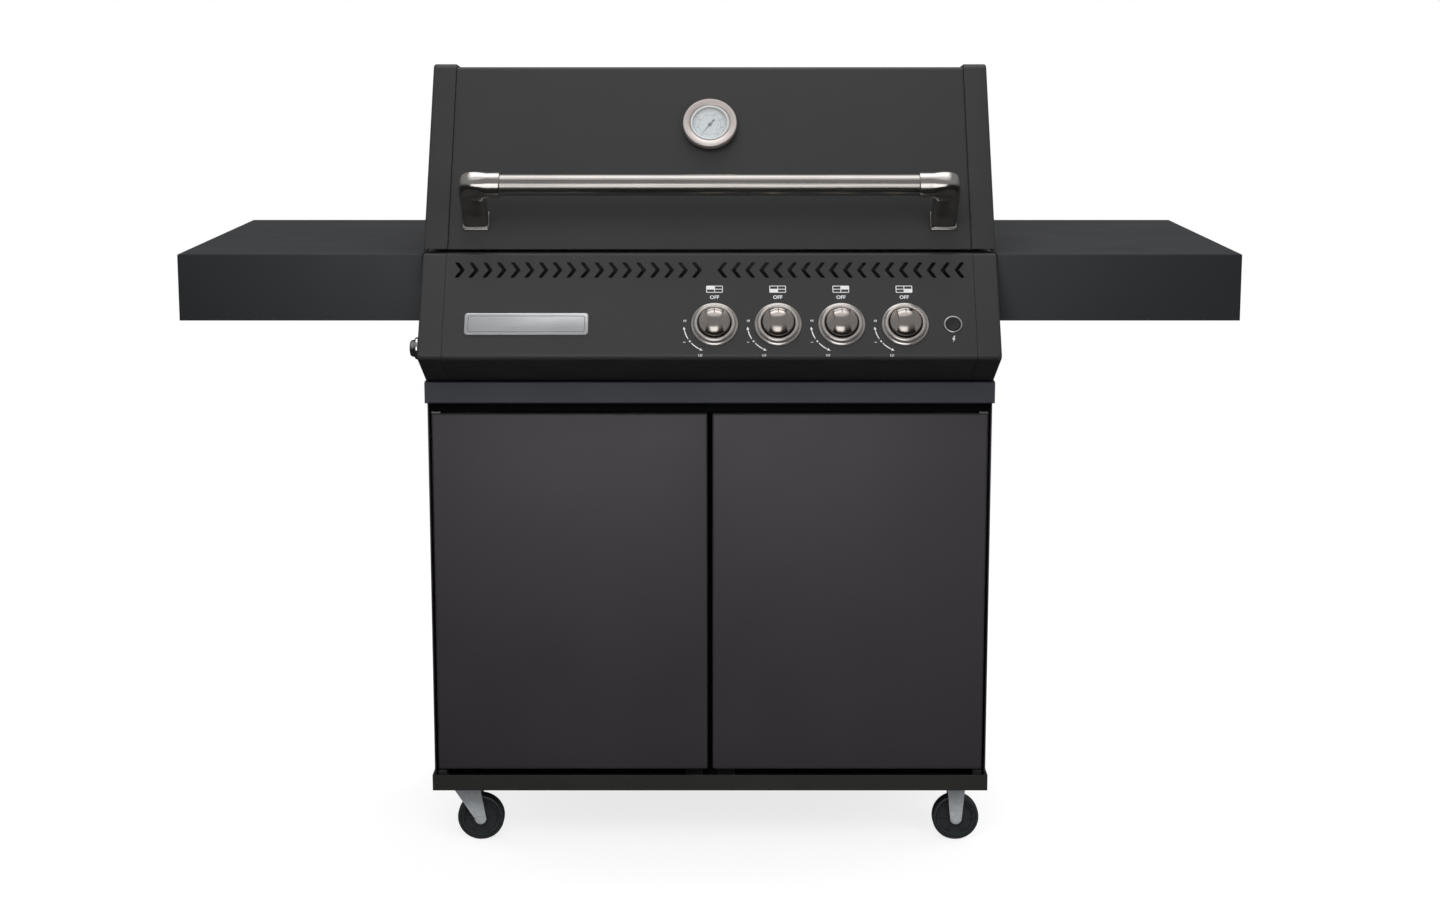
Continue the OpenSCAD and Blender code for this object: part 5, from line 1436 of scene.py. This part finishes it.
class BARBECUE_OT_gauge(bpy.types.Operator):
    """Builds the thermometer's case, dial, figures, needle and glass"""

    bl_idname = "barbecue.gauge"
    bl_label = "Thermometer"
    bl_options = {"REGISTER", "UNDO"}

    # Angle of the dial's zero and of its whole scale, in degrees, clockwise from the top
    start, sweep = 218, 285

    def execute(self, context):
        matrix = hood_frame()
        case = [(0, 0), (31.5, 0), (31.5, 5.2), (31.9, 5.6), (35.3, 6.2), (36.2, 7.0), (36.5, 8.2),
                (36.5, 14.6), (36.2, 15.5), (35.5, 16.0), (28.4, 16.0), (27.8, 15.6), (27.5, 14.4),
                (26.8, 13.6), (26.3, 14.4), (25.9, 15.2), (25.4, 15.4), (24.3, 15.4), (23.7, 15.1),
                (23.5, 14.4), (23.5, 7.0), (0, 7.0)]
        coat = turned("case_turned", srgb(226, 216, 212), matrix, 0.34, 0.72, 1800)
        piece = lathe_piece("thermometer_case", case, matrix, 128)
        finish_piece(piece, coat, HOOD, ["gauge_case"], 34)
        probe = lathe_piece("thermometer_probe", [(3, 0), (3, -52), (2.2, -54), (0.4, -55)], matrix, 24)
        finish_piece(probe, "rack_chrome", HOOD)
        self.dial(matrix)
        self.marks(matrix)
        self.needle(matrix)
        dome = [(0, 12.4), (23.45, 12.4), (23.45, 13.2), (19, 13.7), (0, 14.1)]
        glass = lathe_piece("thermometer_glass", dome, matrix, 96)
        finish_piece(glass, "glass", HOOD, ["gauge_glass"], 60)
        return {"FINISHED"}

    def dial(self, matrix):
        """Dial plate and the ring in front of its edge."""
        bm = bmesh.new()
        add_lathe(bm, [(0, 7.0), (23.4, 7.0), (23.4, 8.0), (0, 8.0)], matrix, 96)
        ring = [(23.6, 14.8), (26.1, 14.8), (26.1, 15.4), (25.6, 15.7), (24.0, 15.7), (23.6, 15.4)]
        add_ring(bm, ring, matrix)
        finish_piece(from_bmesh("thermometer_dial", bm), "dial", HOOD, ["gauge_dial"], 40)

    def on_dial(self, radius, share):
        """Place at a radius in millimetres and a share of the scale."""
        angle = math.radians(self.start + self.sweep * share)
        return (radius * MM * math.sin(angle), radius * MM * math.cos(angle))

    def marks(self, matrix):
        """Ticks, figures and rings printed on the dial."""
        face = matrix @ Matrix.Translation((0, 0, 8.0 * MM))
        count = sizes().tick_count
        step = -math.radians(self.sweep / (count - 1))
        first = Matrix.Rotation(-math.radians(self.start), 4, "Z")
        for name, inner, outer, width, each in (("fine", 20.2, 21.6, 0.28, 1), ("main", 19.5, 21.6, 0.55, 5)):
            half = width / 2
            outline = [(-half, inner), (half, inner), (half, outer), (-half, outer)]
            bm = bmesh.new()
            top = (0.08 + each * 0.004) * MM
            add_prism(bm, [(x * MM, y * MM) for x, y in outline], 0.02 * MM, top, first)
            ticks = RING.run(from_bmesh(f"dial_{name}_ticks", bm), "dark_ink",
                             Count=(count - 1) // each + 1, Step_Angle=step * each)
            ticks.data.transform(face)
            finish_piece(ticks, "dark_ink", HOOD, smooth=0)
        bm = bmesh.new()
        figures, bars = 8, 8
        for i in range(figures):
            letters(bm, str(50 * i), 2.9 * MM, face, self.on_dial(17.0, i / (figures - 1)))
        for radius, width in ((14.6, 0.25), (22.2, 0.22)):
            outer = radius + width
            add_ring(bm, [(radius, 0.03), (outer, 0.03), (outer, 0.09), (radius, 0.09)], face)
        for i in range(bars):
            bar = rectangle(1.6 * MM, 0.5 * MM, 0.2 * MM, 2, self.on_dial(11.4, (i + 0.5) / bars))
            add_prism(bm, bar, 0.03 * MM, 0.09 * MM, face)
        finish_piece(from_bmesh("dial_figures", bm, weld=False), "dark_ink", HOOD, smooth=0)

    def needle(self, matrix):
        """Pointer with a short tail and a round hub, at zero."""
        turn = matrix @ Matrix.Rotation(-math.radians(self.start), 4, "Z")
        half = [(0.9, -9.6), (1.3, -8.6), (0.8, -1), (0.45, 8), (0.12, 16)]
        pointer = [(-0.9, -9.6)] + half + [(-x, y) for x, y in reversed(half[1:])]
        hub = [(0, 9.1), (2.3, 9.1), (2.5, 9.3), (2.5, 10.2), (1.9, 10.9), (0, 11.1)]
        bm = bmesh.new()
        add_prism(bm, [(x * MM, y * MM) for x, y in pointer], 9.3 * MM, 9.8 * MM, turn)
        add_lathe(bm, hub, turn, 32)
        needle = from_bmesh("thermometer_needle", bm, weld=False)
        finish_piece(needle, "needle", "gauge_needle", ["gauge_needle"], 40)


class BARBECUE_OT_wheels(bpy.types.Operator):
    """Builds the four wheels with their ribs"""

    bl_idname = "barbecue.wheels"
    bl_label = "Wheels"
    bl_options = {"REGISTER", "UNDO"}

    def execute(self, context):
        for body in ("left_front_wheel", "left_rear_wheel", "right_front_wheel", "right_rear_wheel"):
            low, high = corners(body)
            matrix = Matrix.Translation((low + high) / 2) @ Matrix.Rotation(math.pi / 2, 4, "X")
            self.wheel(body, matrix, (high.z - low.z) / 2 / MM)
        return {"FINISHED"}

    def wheel(self, body, matrix, r):
        """One wheel of radius r millimetres: hub, web and grooved tyre, and six ribs on the web."""
        half = [(4.1, -11.5), (8.4, -11.5), (9.0, -11.0), (9.2, -6.2), (r - 9.6, -5.6), (r - 9.0, -6.2),
                (r - 8.8, -9.2), (r - 8.2, -9.9), (r - 6.2, -10), (r - 5.8, -8.2), (r - 4.6, -8.2),
                (r - 4.2, -10), (r - 3.0, -10), (r - 1.2, -9.2), (r - 0.2, -7.2), (r, -5.0)]
        profile = half + [(a, -b) for a, b in reversed(half)]
        tyre = lathe_piece(f"{body}_tyre", profile, matrix, 96, add_ring)
        finish_piece(tyre, "wheel_plastic", body, [body], 30)
        count, start, end, thick, depth = 6, 8.6 * MM, (r - 8.7) * MM, 0.9 * MM, 8.6 * MM
        bm = bmesh.new()
        add_box(bm, (start, -thick, -depth), (end, thick, depth), 0.0003, 2)
        ribs = RING.run(from_bmesh(f"{body}_ribs", bm), "wheel_plastic", Count=count,
                        Step_Angle=math.tau / count)
        ribs.data.transform(matrix)
        finish_piece(ribs, "wheel_plastic", body, smooth=30)


class BARBECUE_OT_burners(bpy.types.Operator):
    """Adds the perforations of the ceramic burner faces"""

    bl_idname = "barbecue.burners"
    bl_label = "Burner faces"
    bl_options = {"REGISTER", "UNDO"}

    def execute(self, context):
        low, high = corners("burner_tiles")
        housing = corners("burner_housings")[1].x
        tile_depth, field_x, field_y = 0.1744, 0.262, 0.160
        # A face ends a rim short of its housing's inner edge, which mirrors the outer one
        burner_x, rim = 0.165, 0.0053
        inner_edge = 2 * burner_x - housing + rim
        x = (high.x + inner_edge) / 2
        rows = (low.y + tile_depth / 2, high.y - tile_depth / 2)
        centres = [(side * x, y) for side in (-1, 1) for y in rows]
        for i, centre in enumerate(centres):
            # Each hole is a thin disc on the tile, painted dark as painted shade for the hole's inside
            holes = lathe_piece(f"burner_holes_{i + 1}", [(1.6, 0), (1.6, 0.2)], steps=8)
            GRID.run(holes, "soot", Columns=38, Rows=23, Width=field_x, Depth=field_y)
            holes.data.transform(Matrix.Translation((*centre, high.z)))
            finish_piece(holes, "soot", TROLLEY, smooth=0)
        return {"FINISHED"}


class BARBECUE_OT_fasteners(bpy.types.Operator):
    """Puts the screws in the back, the sides, the rails and the hood's end caps"""

    bl_idname = "barbecue.fasteners"
    bl_label = "Screws"
    bl_options = {"REGISTER", "UNDO"}

    def execute(self, context):
        for name, body, points in (
            ("trolley_screws", TROLLEY, self.trolley_points()), ("hood_screws", HOOD, self.hood_points()),
        ):
            mesh = bpy.data.meshes.new(name)
            mesh.from_pydata([place for place, way in points], [], [])
            way = mesh.attributes.new("way", "FLOAT_VECTOR", "POINT")
            for i, (place, outwards) in enumerate(points):
                way.data[i].vector = outwards
            piece = new_object(name, mesh)
            SCREW.run(piece, "dark_screw", Radius=sizes().screw_radius, Height=0.0016)
            finish_piece(piece, "dark_screw", body, smooth=50)
        return {"FINISHED"}

    def trolley_points(self):
        """Place and outward way of each screw in the cabinet, the rails and the base."""
        side_low, side_high = corners("cabinet_sides")
        rail_low, rail_high = corners("top_rails")
        base_low, base_high = corners("base_pan")
        rear, back = corners("rear_panel")[1].y, Vector((0, 1, 0))
        rail_screw_z = (rail_high.z + rail_low.z + 0.015) / 2
        points = []

        def on_side(x, ys, zs):
            points.extend((Vector((side * x, y, z)), Vector((side, 0, 0))) for y in ys for z in zs)

        for side in (-1, 1):
            on_side(side_high.x, (side_low.y + 0.03, (side_low.y + side_high.y) / 2, side_high.y - 0.02),
                    (base_high.z + 0.016, side_high.z - 0.014))
            for i in range(5):
                place = (side * (side_high.x - 0.016), rear, side_high.z - 0.02 - i * 0.118)
                points.append((Vector(place), back))
            on_side(rail_high.x, (rail_low.y + 0.06, rail_high.y - 0.06), (rail_screw_z,))
            points.append((Vector((side * 0.25, rear, rail_screw_z)), back))
            on_side(base_high.x, (base_low.y + 0.04, base_high.y - 0.04), ((base_low.z + base_high.z) / 2,))
        return points

    def hood_points(self):
        """Place and outward way of each screw in the back of the hood's end caps."""
        low, high = corners("lid_end_caps")
        return [(Vector((side * (high.x - 0.016), high.y, low.z + height)), Vector((0, 1, 0)))
                for side in (-1, 1) for height in (0.06, 0.13)]


OPERATORS = (
    BARBECUE_OT_stage, BARBECUE_OT_cad_finishes, BARBECUE_OT_shelves, BARBECUE_OT_doors, BARBECUE_OT_panel,
    BARBECUE_OT_legends, BARBECUE_OT_badge, BARBECUE_OT_knobs, BARBECUE_OT_igniter, BARBECUE_OT_hood,
    BARBECUE_OT_handle, BARBECUE_OT_gauge, BARBECUE_OT_wheels, BARBECUE_OT_burners, BARBECUE_OT_fasteners,
)


class BARBECUE_PT_pieces(bpy.types.Panel):
    """Lists the pieces of the barbecue"""

    bl_idname = "BARBECUE_PT_pieces"
    bl_label = "Barbecue"
    bl_space_type = "VIEW_3D"
    bl_region_type = "UI"
    bl_category = "Barbecue"

    def draw(self, context):
        for group in (context.scene.barbecue_sizes, context.scene.barbecue_colours):
            column = self.layout.column()
            for name in group.__annotations__:
                column.prop(group, name)
        for operator in OPERATORS:
            self.layout.operator(operator.bl_idname)


CLASSES = (BarbecueSizes, BarbecueColours, *OPERATORS, BARBECUE_PT_pieces)


def register():
    for item in CLASSES:
        bpy.utils.register_class(item)
    bpy.types.Scene.barbecue_sizes = bpy.props.PointerProperty(type=BarbecueSizes)
    bpy.types.Scene.barbecue_colours = bpy.props.PointerProperty(type=BarbecueColours)


def unregister():
    del bpy.types.Scene.barbecue_colours
    del bpy.types.Scene.barbecue_sizes
    for item in reversed(CLASSES):
        bpy.utils.unregister_class(item)


def main():
    register()
    for operator in OPERATORS:
        group, name = operator.bl_idname.split(".")
        getattr(getattr(bpy.ops, group), name)()


ROW, GRID, RING, SCREW = row_tree(), grid_tree(), ring_tree(), screw_tree()

if __name__ == "__main__":
    main()
